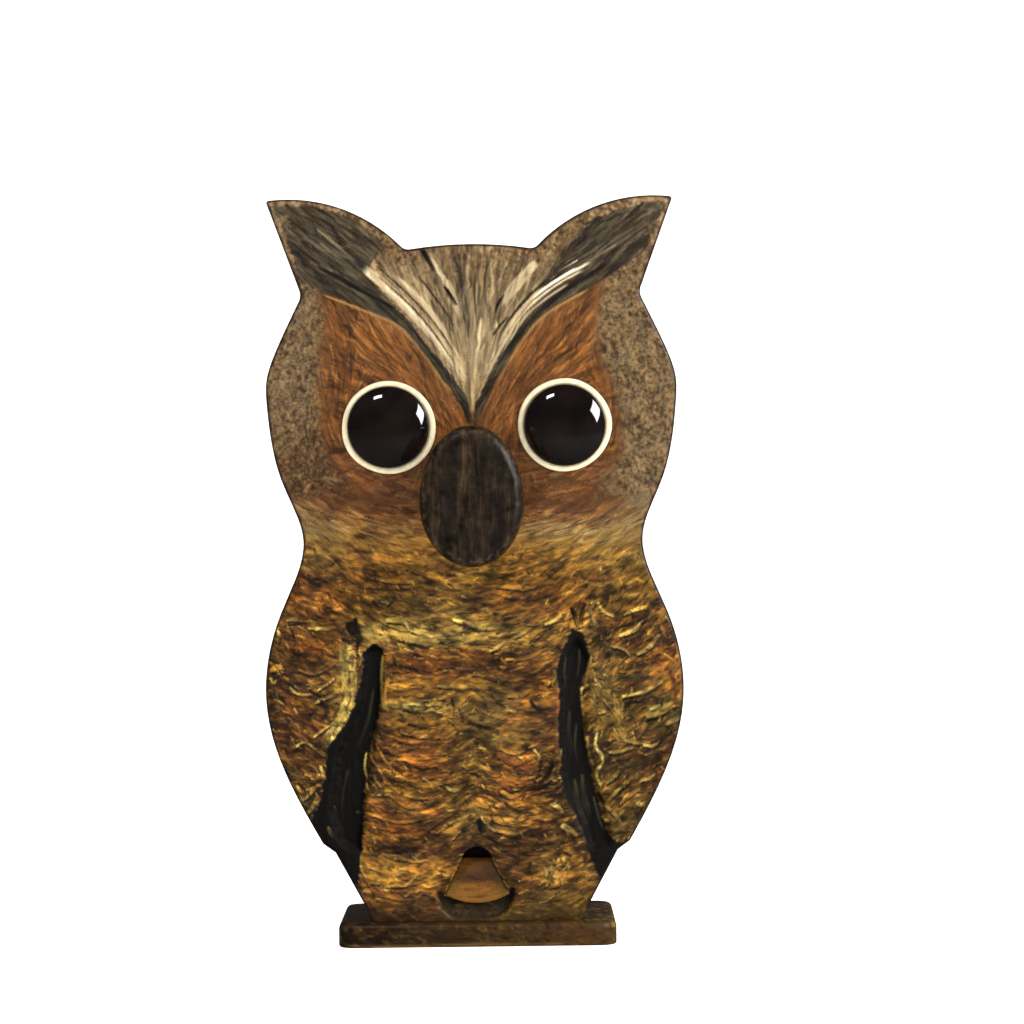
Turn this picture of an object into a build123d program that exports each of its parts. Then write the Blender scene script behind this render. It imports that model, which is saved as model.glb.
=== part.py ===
"""Owl-shaped wooden stand that holds one pair of spectacles by the bridge.

Millimetres. +Z is up and the owl faces -Y. The origin is on the underside of the base plate,
below the middle of the board's thickness. Left and right are the viewer's.
"""

import os
from math import radians, tan

from build123d import *

# ---- base plate ----
base_width = 56.5
base_depth = 35.0
base_height = 5.0
base_corner_radius = 3.5
base_edge_radius = 1.5
base_front_lip = 2.0  # how far the plate stands out in front of the board

# ---- owl board: half widths, each at a height above the one before it ----
board_thickness = 18.0
board_edge_radius = 0.8
foot_half = 21.0
shelf_half = 28.7  # the step under the wing's lower end
shelf_rise = 14.2
wing_tip_half = 31.2
wing_tip_rise = 1.8
wing_half = 42.5
wing_rise = 31.5
shoulder_half = 39.4
shoulder_rise = 15.0
neck_half = 34.5
neck_rise = 15.3
cheek_half = 38.9
cheek_rise = 12.4
head_half = 41.6
head_rise = 14.9
temple_half = 34.3  # the notch below the ear
temple_rise = 22.3
ear_tip_half = 41.4
ear_rise = 19.4
ear_bow = 3.7  # how far the ear's top edge bows out from a straight line
crown_half = 13.2  # the notch at the ear's inner end
crown_rise = 9.1  # above the temple
crown_bow = 1.1
wing_tip_radius = 1.2
temple_radius = 3.0
ear_tip_radius = 0.5
crown_radius = 2.0

# ---- eyes: a cream disc let into the board, and a black dome on it ----
eye_spacing = 35.8
eye_shift = 1.0  # both eyes sit a little to the right of the middle
eye_below_head = 4.6  # below the head's widest line
eye_disc_diameter = 19.0
eye_disc_thickness = 1.8
eye_disc_edge_radius = 0.4
eye_seat_depth = 1.0
eye_ring_width = 1.15  # cream left showing round the dome
eye_dome_height = 2.9
eye_dome_edge = 0.3  # straight edge at the dome's foot
glue_gap = 0.1  # all round a piece that is glued in

# ---- beak, and the peg that it stands on ----
beak_half = 10.4
beak_below_eyes = 15.5  # from the eyes down to the beak's widest line
beak_above = 15.4
beak_below = 12.9
beak_thickness = 8.0
beak_front_radius = 2.2
beak_back_radius = 0.8
peg_diameter = 10.0
peg_above_beak_line = 7.5
peg_chamfer = 0.6
peg_in_beak = 5.5
peg_back_wall = 6.0  # wood left behind the peg's bore
bridge_gap = 7.0  # room for the spectacles' bridge, between board and beak

# ---- tail, glued in a bell-shaped pocket between the legs ----
pocket_depth = 5.0
pocket_half_top = 3.1
pocket_half_bottom = 6.7
pocket_low = 3.7  # lowest point, above the board's foot
pocket_corner_rise = 1.7
pocket_side_rise = 7.1
pocket_arch_rise = 2.7
tail_sunk = 3.4  # its top edge lies this deep in the pocket
tail_proud = 0.9  # and its lower edge this far out of the board
hollow_depth = 1.8  # a shallow scoop under the tail
hollow_half = 7.8
hollow_low = 0.6
hollow_height = 6.8

# ---- grooves between belly and wings: (from the middle, above the board's foot) ----
groove_depth = 1.5
left_groove_belly_side = [(-18.0, 56.0), (-19.2, 44.5), (-21.4, 32.5), (-23.6, 14.5)]
left_groove_wing_side = [(-27.0, 15.5), (-29.4, 22.5), (-27.8, 34.5), (-22.7, 45.0), (-21.6, 55.5)]
right_groove_belly_side = [(20.6, 57.5), (17.4, 47.5), (17.5, 29.5), (23.5, 14.5)]
right_groove_wing_side = [(27.4, 15.5), (25.6, 23.5), (22.3, 37.5), (23.2, 52.5)]

# ---- screws, up through the base plate into the board ----
screw_spacing = 26.0
screw_length = 30.0
screw_diameter = 3.5
screw_head_diameter = 7.0
screw_head_angle = 82.0
screw_point_height = 3.0
screw_hole_clearance = 0.3
screw_end_clearance = 1.0
recess_width = 0.9
recess_span = 3.8
recess_depth = 1.2

# ---- heights above the board's foot ----
wing_tip_up = shelf_rise + wing_tip_rise
wing_up = wing_tip_up + wing_rise
shoulder_up = wing_up + shoulder_rise
neck_up = shoulder_up + neck_rise
cheek_up = neck_up + cheek_rise
head_up = cheek_up + head_rise
temple_up = head_up + temple_rise
ear_tip_up = temple_up + ear_rise
crown_up = temple_up + crown_rise
eye_up = head_up - eye_below_head
beak_up = eye_up - beak_below_eyes
peg_up = beak_up + peg_above_beak_line

# ---- depths along Y ----
board_front = -board_thickness / 2
base_middle = board_front - base_front_lip + base_depth / 2
beak_back = board_front - bridge_gap
eye_disc_front = board_front + eye_seat_depth - eye_disc_thickness
peg_bore_depth = board_thickness - peg_back_wall

eye_places = {"left": eye_shift - eye_spacing / 2, "right": eye_shift + eye_spacing / 2}


def face_plane(y):
    """An upright plane at depth y that faces the viewer, with its origin at the board's foot."""
    return Plane(origin=(0, y, base_height), x_dir=(1, 0, 0), z_dir=(0, -1, 0))


def corners_at(sketch, half, up):
    """The sketch's corners at this half width and height, on both sides."""
    return [v for v in sketch.vertices() if abs(abs(v.X) - half) < 0.01 and abs(v.Y - up) < 0.01]


def draw_bell(inset):
    """The bell's lower edge and its two sides; returns its two shoulders."""
    low = pocket_low + inset
    corner_up = low + pocket_corner_rise
    shoulder_up = corner_up + pocket_side_rise
    half_bottom = pocket_half_bottom - inset
    half_top = pocket_half_top - inset
    ThreePointArc((-half_bottom, corner_up), (0, low), (half_bottom, corner_up))
    Line((half_bottom, corner_up), (half_top, shoulder_up))
    Line((-half_bottom, corner_up), (-half_top, shoulder_up))
    return (-half_top, shoulder_up), (half_top, shoulder_up)


def export(part, name):
    part.label = name
    export_step(part, f"parts/{name}.step")
    print(f"{name}: {part.volume:.1f} mm3")


os.makedirs("parts", exist_ok=True)

# ---- owl board ----
with BuildPart() as owl_board:
    with BuildSketch(face_plane(0)) as outline:
        with BuildLine():
            Polyline(
                (0, 0),
                (foot_half, 0),
                (shelf_half, shelf_rise),
                (wing_tip_half, wing_tip_up),
            )
            Spline(
                (wing_tip_half, wing_tip_up),
                (wing_half, wing_up),
                (shoulder_half, shoulder_up),
                (neck_half, neck_up),
                (cheek_half, cheek_up),
                (head_half, head_up),
                (temple_half, temple_up),
                tangents=[(0.5, 0.87), (-0.45, 0.9)],
            )
            Line((temple_half, temple_up), (ear_tip_half, ear_tip_up))
            SagittaArc((crown_half, crown_up), (ear_tip_half, ear_tip_up), ear_bow)
            SagittaArc((0, crown_up + crown_bow), (crown_half, crown_up), crown_bow / 4)
            mirror(about=Plane.YZ)
        make_face()
        fillet(corners_at(outline, wing_tip_half, wing_tip_up), wing_tip_radius)
        fillet(corners_at(outline, temple_half, temple_up), temple_radius)
        fillet(corners_at(outline, ear_tip_half, ear_tip_up), ear_tip_radius)
        fillet(corners_at(outline, crown_half, crown_up), crown_radius)
    extrude(amount=board_thickness / 2, both=True)
    rims = owl_board.faces().filter_by(Axis.Y).edges()
    fillet(rims.filter_by(lambda edge: edge.center().Z > base_height + 0.1), board_edge_radius)

    # seats for the eye discs
    with BuildSketch(face_plane(board_front)):
        with Locations([(x, eye_up) for x in eye_places.values()]):
            Circle(eye_disc_diameter / 2 + glue_gap)
    extrude(amount=-eye_seat_depth, mode=Mode.SUBTRACT)

    # blind bore for the peg
    with BuildSketch(face_plane(board_front)):
        with Locations((0, peg_up)):
            Circle(peg_diameter / 2)
    extrude(amount=-peg_bore_depth, mode=Mode.SUBTRACT)

    # grooves, each cut by hand and so not quite alike
    for belly_side, wing_side in (
        (left_groove_belly_side, left_groove_wing_side),
        (right_groove_belly_side, right_groove_wing_side),
    ):
        with BuildSketch(face_plane(board_front)):
            with BuildLine():
                Spline(*belly_side)
                Line(belly_side[-1], wing_side[0])
                Spline(*wing_side)
                Line(wing_side[-1], belly_side[0])
            make_face()
        extrude(amount=-groove_depth, mode=Mode.SUBTRACT)

    # pocket for the tail
    with BuildSketch(face_plane(board_front)):
        with BuildLine():
            left_shoulder, right_shoulder = draw_bell(0)
            arch_top = (0, left_shoulder[1] + pocket_arch_rise)
            ThreePointArc(left_shoulder, arch_top, right_shoulder)
        make_face()
    extrude(amount=-pocket_depth, mode=Mode.SUBTRACT)

    # scoop under the tail
    with BuildSketch(face_plane(board_front)):
        with Locations((0, hollow_low + hollow_height / 2)):
            Ellipse(hollow_half, hollow_height / 2)
    extrude(amount=-hollow_depth, mode=Mode.SUBTRACT)

    # pilot holes for the screws
    with BuildSketch(Plane.XY.offset(base_height)):
        with GridLocations(screw_spacing, 0, 2, 1):
            Circle(screw_diameter / 2)
    extrude(amount=screw_length - base_height + screw_end_clearance, mode=Mode.SUBTRACT)
export(owl_board.part, "owl_board")

# ---- base plate ----
with BuildPart() as base_plate:
    with BuildSketch(Plane.XY):
        with Locations((0, base_middle)):
            RectangleRounded(base_width, base_depth, base_corner_radius)
    extrude(amount=base_height)
    fillet(base_plate.faces().filter_by(Axis.Z).edges(), base_edge_radius)
    with Locations(Plane.XY.rotated((180, 0, 0))):
        with GridLocations(screw_spacing, 0, 2, 1):
            CounterSinkHole(
                radius=(screw_diameter + screw_hole_clearance) / 2,
                counter_sink_radius=screw_head_diameter / 2 + glue_gap,
                counter_sink_angle=screw_head_angle,
                depth=base_height,
            )
export(base_plate.part, "base_plate")

# ---- screws, their heads flush with the base's underside ----
screw_head_height = (screw_head_diameter - screw_diameter) / 2 / tan(radians(screw_head_angle / 2))
for side, x in (("left", -screw_spacing / 2), ("right", screw_spacing / 2)):
    with BuildPart() as screw:
        with BuildSketch(Plane(origin=(x, 0, 0), x_dir=(1, 0, 0), z_dir=(0, -1, 0))):
            with BuildLine():
                Polyline(
                    (0, 0),
                    (screw_head_diameter / 2, 0),
                    (screw_diameter / 2, screw_head_height),
                    (screw_diameter / 2, screw_length - screw_point_height),
                    (0, screw_length),
                    close=True,
                )
            make_face()
        revolve(axis=Axis((x, 0, 0), (0, 0, 1)))
        with BuildSketch(Plane(origin=(x, 0, 0))):
            Rectangle(recess_span, recess_width)
            Rectangle(recess_width, recess_span)
        extrude(amount=recess_depth, mode=Mode.SUBTRACT)
    export(screw.part, f"base_screw_{side}")

# ---- peg ----
with BuildPart() as beak_peg:
    with BuildSketch(face_plane(beak_back - peg_in_beak)):
        with Locations((0, peg_up)):
            Circle(peg_diameter / 2)
    extrude(amount=-(peg_in_beak + bridge_gap + peg_bore_depth))
    chamfer(beak_peg.edges().filter_by(GeomType.CIRCLE), peg_chamfer)
export(beak_peg.part, "beak_peg")

# ---- beak: an egg with its blunt end down ----
with BuildPart() as beak:
    with BuildSketch(face_plane(beak_back)):
        with BuildLine():
            EllipticalCenterArc((0, beak_up), beak_half, beak_above, 0, arc_size=180)
            EllipticalCenterArc((0, beak_up), beak_half, beak_below, 180, arc_size=180)
        make_face()
    extrude(amount=beak_thickness)
    fillet(beak.faces().sort_by(Axis.Y)[0].edges(), beak_front_radius)
    fillet(beak.faces().sort_by(Axis.Y)[-1].edges(), beak_back_radius)
    with BuildSketch(face_plane(beak_back)):
        with Locations((0, peg_up)):
            Circle(peg_diameter / 2)
    extrude(amount=peg_in_beak, mode=Mode.SUBTRACT)
export(beak.part, "beak")

# ---- eyes ----
for side, x in eye_places.items():
    with BuildPart() as eye_disc:
        with BuildSketch(face_plane(board_front + eye_seat_depth)):
            with Locations((x, eye_up)):
                Circle(eye_disc_diameter / 2)
        extrude(amount=eye_disc_thickness)
        fillet(eye_disc.faces().sort_by(Axis.Y)[0].edges(), eye_disc_edge_radius)
    export(eye_disc.part, f"{side}_eye_disc")

    # a spherical cap on a low straight edge, turned about the line of sight
    dome_foot = (x, eye_disc_front, base_height + eye_up)
    dome_half = eye_disc_diameter / 2 - eye_ring_width
    cap_height = eye_dome_height - eye_dome_edge
    cap_radius = (dome_half**2 + cap_height**2) / (2 * cap_height)
    with BuildPart() as eye:
        with BuildSketch(Plane(origin=dome_foot, x_dir=(1, 0, 0), z_dir=(0, 0, -1))):
            with BuildLine():
                Polyline((0, eye_dome_height), (0, 0), (dome_half, 0), (dome_half, eye_dome_edge))
                RadiusArc((dome_half, eye_dome_edge), (0, eye_dome_height), -cap_radius)
            make_face()
        revolve(axis=Axis(dome_foot, (0, -1, 0)))
    export(eye.part, f"{side}_eye")

# ---- tail: fills the pocket's bell, its face sloping out towards the lower edge ----
with BuildPart() as tail:
    with BuildSketch(face_plane(board_front + pocket_depth)):
        with BuildLine():
            left_shoulder, right_shoulder = draw_bell(glue_gap)
            Line(left_shoulder, right_shoulder)
        make_face()
    extrude(amount=pocket_depth + tail_proud)
    slope_foot = (0, board_front - tail_proud, base_height + pocket_low)
    slope_height = pocket_corner_rise + pocket_side_rise
    split(
        bisect_by=Plane(
            origin=slope_foot,
            x_dir=(1, 0, 0),
            z_dir=(0, -slope_height, tail_sunk + tail_proud),
        ),
        keep=Keep.BOTTOM,
    )
export(tail.part, "tail")
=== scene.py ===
import math

import bmesh
import bpy
import numpy as np
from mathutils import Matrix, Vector
from mathutils.geometry import delaunay_2d_cdt
from mathutils.kdtree import KDTree


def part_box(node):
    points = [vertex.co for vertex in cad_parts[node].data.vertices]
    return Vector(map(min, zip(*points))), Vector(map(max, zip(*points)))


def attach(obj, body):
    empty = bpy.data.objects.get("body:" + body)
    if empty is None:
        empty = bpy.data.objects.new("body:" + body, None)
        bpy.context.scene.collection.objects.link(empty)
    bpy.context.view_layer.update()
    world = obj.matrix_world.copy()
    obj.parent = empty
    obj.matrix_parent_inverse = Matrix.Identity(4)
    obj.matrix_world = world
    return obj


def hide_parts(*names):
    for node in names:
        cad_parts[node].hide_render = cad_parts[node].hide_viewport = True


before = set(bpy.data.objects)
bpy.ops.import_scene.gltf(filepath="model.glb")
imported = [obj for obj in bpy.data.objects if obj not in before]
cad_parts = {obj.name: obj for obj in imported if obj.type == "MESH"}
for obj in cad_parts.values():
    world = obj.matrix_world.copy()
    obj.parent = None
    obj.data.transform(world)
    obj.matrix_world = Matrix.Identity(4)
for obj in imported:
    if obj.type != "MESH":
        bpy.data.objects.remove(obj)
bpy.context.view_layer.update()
rng = np.random.default_rng(11)
metre = 0.001  # one millimetre in metres


def boxOf(node):
    # lowest and highest corner of a node, in millimetres
    low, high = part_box(node)
    return np.array(low) / metre, np.array(high) / metre


def smooth(low, high, value):
    # 0 below low, 1 above high, and an eased ramp between
    t = np.clip((value - low) / (high - low), 0.0, 1.0)
    return t * t * (3 - 2 * t)


def mix(first, second, share):
    return first + (second - first) * share


print("frame loaded")


def cutLoops(node, at, normal=(0, 1, 0)):
    # the loops where a plane cuts a node, longest first, in millimetres; an upright cut
    # gives (x, z) and a level one (x, y)
    bm = bmesh.new()
    bm.from_mesh(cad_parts[node].data)
    bmesh.ops.remove_doubles(bm, verts=bm.verts, dist=1e-6)
    parts = bm.verts[:] + bm.edges[:] + bm.faces[:]
    place = Vector(normal) * at * metre
    cut = bmesh.ops.bisect_plane(bm, geom=parts, plane_co=place, plane_no=normal)
    edges = {e for e in cut["geom_cut"] if isinstance(e, bmesh.types.BMEdge)}
    second = 2 if normal[1] else 1
    loops = []
    while edges:
        edge = edges.pop()
        start, here = edge.verts
        loop = [start]
        while here is not start:
            loop.append(here)
            onward = [e for e in here.link_edges if e in edges]
            if not onward:
                break
            edges.discard(onward[0])
            here = onward[0].other_vert(here)
        loops.append(np.array([(v.co.x, v.co[second]) for v in loop]) / metre)
    bm.free()
    return sorted(loops, key=lambda loop: -np.hypot(*np.diff(loop, axis=0, append=loop[:1]).T).sum())


def evenLoop(loop, step):
    # the same closed loop with evenly spaced points, counter-clockwise
    if np.sum(loop[:, 0] * np.roll(loop[:, 1], -1) - loop[:, 1] * np.roll(loop[:, 0], -1)) < 0:
        loop = loop[::-1]
    closed = np.vstack([loop, loop[:1]])
    along = np.r_[0, np.cumsum(np.hypot(*np.diff(closed, axis=0).T))]
    count = int(along[-1] / step)
    wanted = np.linspace(0, along[-1], count, endpoint=False)
    return np.c_[np.interp(wanted, along, closed[:, 0]), np.interp(wanted, along, closed[:, 1])]


def inwardNormals(loop):
    # the inward direction at each point of a counter-clockwise loop
    along = np.roll(loop, -2, axis=0) - np.roll(loop, 2, axis=0)
    along /= np.hypot(*along.T)[:, None] + 1e-9
    return np.c_[-along[:, 1], along[:, 0]]


def insideLoop(loop, points):
    # which points lie inside a closed loop
    x, z = points[:, 0], points[:, 1]
    inside = np.zeros(len(points), bool)
    for (x0, z0), (x1, z1) in zip(loop, np.roll(loop, -1, axis=0)):
        if z0 == z1:
            continue
        near = (z >= min(z0, z1)) & (z < max(z0, z1))
        cross = x0 + (z[near] - z0) * (x1 - x0) / (z1 - z0)
        inside[np.flatnonzero(near)[x[near] < cross]] ^= True
    return inside


def distanceTo(loop, points):
    # distance from each point to the nearest point of an evenly spaced loop
    tree = KDTree(len(loop))
    for index, (x, z) in enumerate(loop):
        tree.insert((x, z, 0), index)
    tree.balance()
    return np.array([tree.find((x, z, 0))[2] for x, z in points])


boardLow, boardHigh = boxOf("owl_board")
behindScrews = mix(boardLow[1], boardHigh[1], 0.8)  # a cut at this depth meets no bore
boardOutline = evenLoop(cutLoops("owl_board", behindScrews)[0], 0.1)
print("board outline", len(boardOutline), "points")

# the canvas is a flat sheet over the board's face; its colours and its paint thickness are
# laid on the board's mesh afterwards
sheets = {
    "board": {"left": -44.0, "low": 3.0, "wide": 88.0, "tall": 151.0, "pitch": 0.125},
    "base": {"left": -96.0, "low": -0.6, "wide": 192.0, "tall": 42.0, "pitch": 0.2},
    "beak": {"left": -14.0, "low": 72.0, "wide": 28.0, "tall": 38.0, "pitch": 0.1},
    "tail": {"left": -9.0, "low": 9.0, "wide": 18.0, "tall": 14.0, "pitch": 0.1},
}
canvas = {}


def startCanvas(left, low, wide, tall, pitch):
    # a fresh sheet of paint; the brushes below always work on the sheet started last
    global canvasX, canvasZ, gridX, gridZ, colours, relief
    canvas.update(left=left, low=low, pitch=pitch)
    canvasX = np.arange(left, left + wide, pitch, dtype=np.float32)
    canvasZ = np.arange(low, low + tall, pitch, dtype=np.float32)
    gridX, gridZ = np.meshgrid(canvasX, canvasZ)
    colours = np.zeros(gridX.shape + (3,), np.float32)
    relief = np.zeros(gridX.shape, np.float32)  # paint thickness in millimetres


startCanvas(**sheets["board"])

paints = {
    "black": (14, 10, 8),
    "charcoal": (62, 53, 40),
    "slate": (84, 76, 60),
    "darkUmber": (44, 27, 11),
    "umber": (74, 47, 21),
    "rust": (106, 62, 24),
    "sienna": (128, 83, 38),
    "orange": (166, 106, 48),
    "ochre": (150, 112, 54),
    "gold": (188, 144, 82),
    "olive": (100, 80, 38),
    "moss": (74, 68, 42),
    "taupe": (128, 110, 82),
    "tan": (158, 124, 84),
    "greige": (170, 152, 118),
    "cream": (222, 203, 166),
    "bone": (242, 230, 204),
}


def paintOf(red, green, blue):
    return np.array([red, green, blue], np.float32) / 255


paints = {name: paintOf(*value) for name, value in paints.items()}


def coarseNoise(cells, shape, low=0.0, high=1.0):
    # smooth random field over the canvas, with about that many cells up and across
    seeds = rng.random((cells[0] + 2, cells[1] + 2)).astype(np.float32)
    v = np.linspace(0, cells[0], shape[0], dtype=np.float32)
    u = np.linspace(0, cells[1], shape[1], dtype=np.float32)
    vi, ui = v.astype(int), u.astype(int)
    vf, uf = smooth(0, 1, v - vi)[:, None], smooth(0, 1, u - ui)[None, :]
    top = mix(seeds[vi][:, ui], seeds[vi][:, ui + 1], uf)
    bottom = mix(seeds[vi + 1][:, ui], seeds[vi + 1][:, ui + 1], uf)
    return low + (high - low) * mix(top, bottom, vf)


# hairs of a brush: quick to change across the stroke, slow along it
hairs = rng.random((256, 256)).astype(np.float32)


def hairPattern(along, across, shift, hairWidth=0.16, hairLength=2.2):
    a = across / hairWidth + shift[0]
    b = along / hairLength + shift[1]
    i, j = np.floor(a).astype(int), np.floor(b).astype(int)
    fa, fb = a - i, b - j
    i0, i1, j0, j1 = i % 256, (i + 1) % 256, j % 256, (j + 1) % 256
    return mix(mix(hairs[i0, j0], hairs[i1, j0], fa), mix(hairs[i0, j1], hairs[i1, j1], fa), fb)


def stroke(x, z, angle, length, width, colour, second=None, bend=0.0, body=0.1, dry=0.4, within=None):
    # one brush stroke: bend is its curvature, body the paint's thickness, dry how soon it breaks up
    reach = length / 2 + width
    i0, i1 = np.searchsorted(canvasX, (x - reach, x + reach))
    j0, j1 = np.searchsorted(canvasZ, (z - reach, z + reach))
    if i1 - i0 < 2 or j1 - j0 < 2:
        return
    dx, dz = gridX[j0:j1, i0:i1] - x, gridZ[j0:j1, i0:i1] - z
    c, s = math.cos(angle), math.sin(angle)
    along = dx * c + dz * s
    across = dz * c - dx * s - bend * along * along
    shift = rng.random(2) * 200
    hair = hairPattern(along, across, shift)
    share = along / length + 0.5
    taper = 1.02 - 0.7 * np.clip(2 * share - 1, -1.3, 1.3) ** 4
    side = np.abs(across) / (width / 2 * np.maximum(taper, 0.05)) + 0.35 * (hair - 0.5)
    alpha = smooth(1.0, 0.72, side)
    alpha *= smooth(-0.02, 0.06, share - 0.06 * hair) * smooth(1.02, 0.86, share + 0.22 * hair)
    alpha *= np.clip(1.25 - dry * (0.35 + share) * (0.4 + 1.6 * hair), 0, 1)
    if within is not None:
        alpha *= within[j0:j1, i0:i1]
    tone = colour[None, None, :] * (0.84 + 0.32 * hair)[..., None]
    if second is not None:
        other = second[None, None, :] * np.ones_like(tone)
        tone = mix(tone, other, smooth(0.55, 0.8, hair)[..., None] * 0.7)
    patch = colours[j0:j1, i0:i1]
    patch += (tone - patch) * alpha[..., None]
    ridge = 0.55 + 0.45 * smooth(0.35, 0.85, np.abs(across) / (width / 2))
    height = body * ridge * (0.6 + 0.8 * hair)
    level = relief[j0:j1, i0:i1]
    level += (level * 0.45 + height - level) * alpha


def underpaint(area, blobs):
    # soft patches of paint, (x, z, half width, half height, paint), mixed by nearness
    total = np.full(gridX.shape, 1e-4, np.float32)
    colour = np.zeros_like(colours)
    for x, z, wide, tall, paint in blobs:
        weight = np.exp(-(((gridX - x) / wide) ** 2) - ((gridZ - z) / tall) ** 2) + 1e-5
        colour += weight[..., None] * (paints[paint] if isinstance(paint, str) else paint)
        total += weight
    colour /= total[..., None]
    colours[:] = mix(colours, colour, area[..., None])


def brushOver(area, count, angleAt, length, width, tint, body=0.1, dry=0.4, bend=0.0, clip=True):
    # many strokes over an area: each picks up the paint under it, shifted by its tint
    rows, columns = np.nonzero(area > 0.5)
    picks = rng.integers(0, len(rows), count)
    for row, column in zip(rows[picks], columns[picks]):
        x, z = canvasX[column], canvasZ[row]
        under = colours[row, column]
        first, second = tint(under)
        size = rng.uniform(0.65, 1.35)
        stroke(
            x, z, angleAt(x, z) + rng.normal(0, 0.12), length * size, width * rng.uniform(0.7, 1.3),
            first, second, bend, body, dry, area if clip else None,
        )


def tinted(names, strength, jitter=0.12):
    # a tint that moves the paint below towards one of the named paints
    def tint(under):
        paint = paints[names[rng.integers(len(names))]]
        amount = strength * rng.uniform(0.5, 1.3)
        first = mix(under, paint, min(amount, 1.0)) * (1 + rng.normal(0, jitter))
        return first.astype(np.float32), (first * rng.uniform(0.6, 1.3)).astype(np.float32)

    return tint


def smoothPath(points, step):
    # a curve through the points, as evenly spaced as the step allows
    points = np.array(points, float)
    ends = np.vstack([2 * points[0] - points[1], points, 2 * points[-1] - points[-2]])
    path = []
    for a, b, c, d in zip(ends, ends[1:], ends[2:], ends[3:]):
        count = max(2, int(np.hypot(*(c - b)) / step))
        t = np.linspace(0, 1, count, endpoint=False)[:, None]
        turning, twisting = 2 * a - 5 * b + 4 * c - d, 3 * b - a - 3 * c + d
        path.append(0.5 * (2 * b + (c - a) * t + turning * t**2 + twisting * t**3))
    return np.vstack(path + [points[-1:]])


def ribbon(points, width, paint, body=0.1, dry=0.4, within=None, ragged=0.35):
    # one long stroke of the brush along a curve
    path = smoothPath(points, 0.35)
    i0, i1 = np.searchsorted(canvasX, (path[:, 0].min() - width, path[:, 0].max() + width))
    j0, j1 = np.searchsorted(canvasZ, (path[:, 1].min() - width, path[:, 1].max() + width))
    if i1 - i0 < 2 or j1 - j0 < 2:
        return
    steps = np.r_[0, np.cumsum(np.hypot(*np.diff(path, axis=0).T))]
    tangent = np.gradient(path, axis=0)
    tangent /= np.hypot(*tangent.T)[:, None] + 1e-9
    x, z = gridX[j0:j1, i0:i1], gridZ[j0:j1, i0:i1]
    nearest = np.full(x.shape, 1e9, np.float32)
    along, across = np.zeros_like(x), np.zeros_like(x)
    for (px, pz), (tx, tz), reached in zip(path, tangent, steps):
        dx, dz = x - px, z - pz
        gap = dx * dx + dz * dz
        closer = gap < nearest
        nearest[closer] = gap[closer]
        along[closer] = (reached + dx * tx + dz * tz)[closer]
        across[closer] = (dz * tx - dx * tz)[closer]
    share = along / steps[-1]
    hair = hairPattern(along, across, rng.random(2) * 200, 0.17, 3.0)
    swell = 0.25 + 0.8 * np.sin(math.pi * np.clip(share * 0.86 + 0.1, 0.01, 0.99)) ** 0.6
    swell *= 1 + ragged * (hairPattern(along, across * 0.05, rng.random(2) * 200, 0.17, 1.1) - 0.5)
    side = np.abs(across) / (width / 2 * swell) + 0.4 * (hair - 0.5)
    alpha = smooth(1.05, 0.7, side) * smooth(-0.02, 0.05, share) * smooth(1.04, 0.9, share + 0.12 * hair)
    alpha *= np.clip(1.25 - dry * (0.3 + share) * (0.3 + 1.6 * hair), 0, 1)
    if within is not None:
        alpha *= within[j0:j1, i0:i1]
    if isinstance(paint, str):
        paint = paints[paint]
    tone = paint[None, None, :] * (0.86 + 0.26 * hair)[..., None]
    patch = colours[j0:j1, i0:i1]
    patch += (tone - patch) * alpha[..., None]
    level = relief[j0:j1, i0:i1]
    level += (level * 0.4 + body * (0.6 + 0.8 * hair) - level) * alpha


def ribbons(rows, body=0.1, dry=0.45, within=None, shade=0.0):
    # shade puts a broken dark line below each light one: a painted shadow under the thick stroke's ridge
    for paint, width, points in rows:
        if shade and paints[paint][0] > 0.5:
            lower = [(x + 0.15, z - 0.45 * width - 0.14) for x, z in points]
            ribbon(lower, 0.32 + 0.35 * width, paints["darkUmber"] * 0.7, 0.02, shade, within)
        ribbon(points, width, paint, body, dry, within)


def bristled(area, along, across, strength=0.5, light="gold", dark="darkUmber", width=0.24, length=1.7):
    # fine marks left by the bristles all over an area; along and across follow the brush
    wide, tall = gridX.shape[1], gridX.shape[0]
    wander = coarseNoise((tall // 14, wide // 14), gridX.shape, -0.35, 0.35)
    fine = hairPattern(along + wander, across + wander, rng.random(2) * 200, width, length)
    spread = across + 1.6 * wander
    broad = hairPattern(along - wander, spread, rng.random(2) * 200, width * 2.4, length * 1.8)
    marks = 0.62 * fine + 0.38 * broad
    share = area[..., None] * strength
    colours[:] *= 1 + share * 0.9 * (marks[..., None] - 0.5)
    colours[:] = mix(colours, paints[dark], smooth(0.34, 0.12, marks)[..., None] * share * 0.9)
    colours[:] = mix(colours, paints[light], smooth(0.68, 0.9, marks)[..., None] * share * 0.8)
    relief[:] += 0.14 * area * strength * (marks - 0.5)


def turnedGrid(angle):
    # the canvas positions along and across a direction
    return (
        gridX * np.cos(angle) + gridZ * np.sin(angle),
        gridZ * np.cos(angle) - gridX * np.sin(angle),
    )


def speckle(area, first, second, size=0.4, amount=0.8):
    # dabs of two paints over what is there, about size millimetres across
    tall, wide = gridX.shape[0] * canvas["pitch"] / size, gridX.shape[1] * canvas["pitch"] / size
    field = coarseNoise((int(tall), int(wide)), gridX.shape)
    field = 0.65 * field + 0.35 * coarseNoise((int(tall / 2.3), int(wide / 2.3)), gridX.shape)
    for paint, share in ((first, smooth(0.55, 0.7, field)), (second, smooth(0.45, 0.3, field))):
        colours[:] = mix(colours, paints[paint], (share * area * amount)[..., None])


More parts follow.
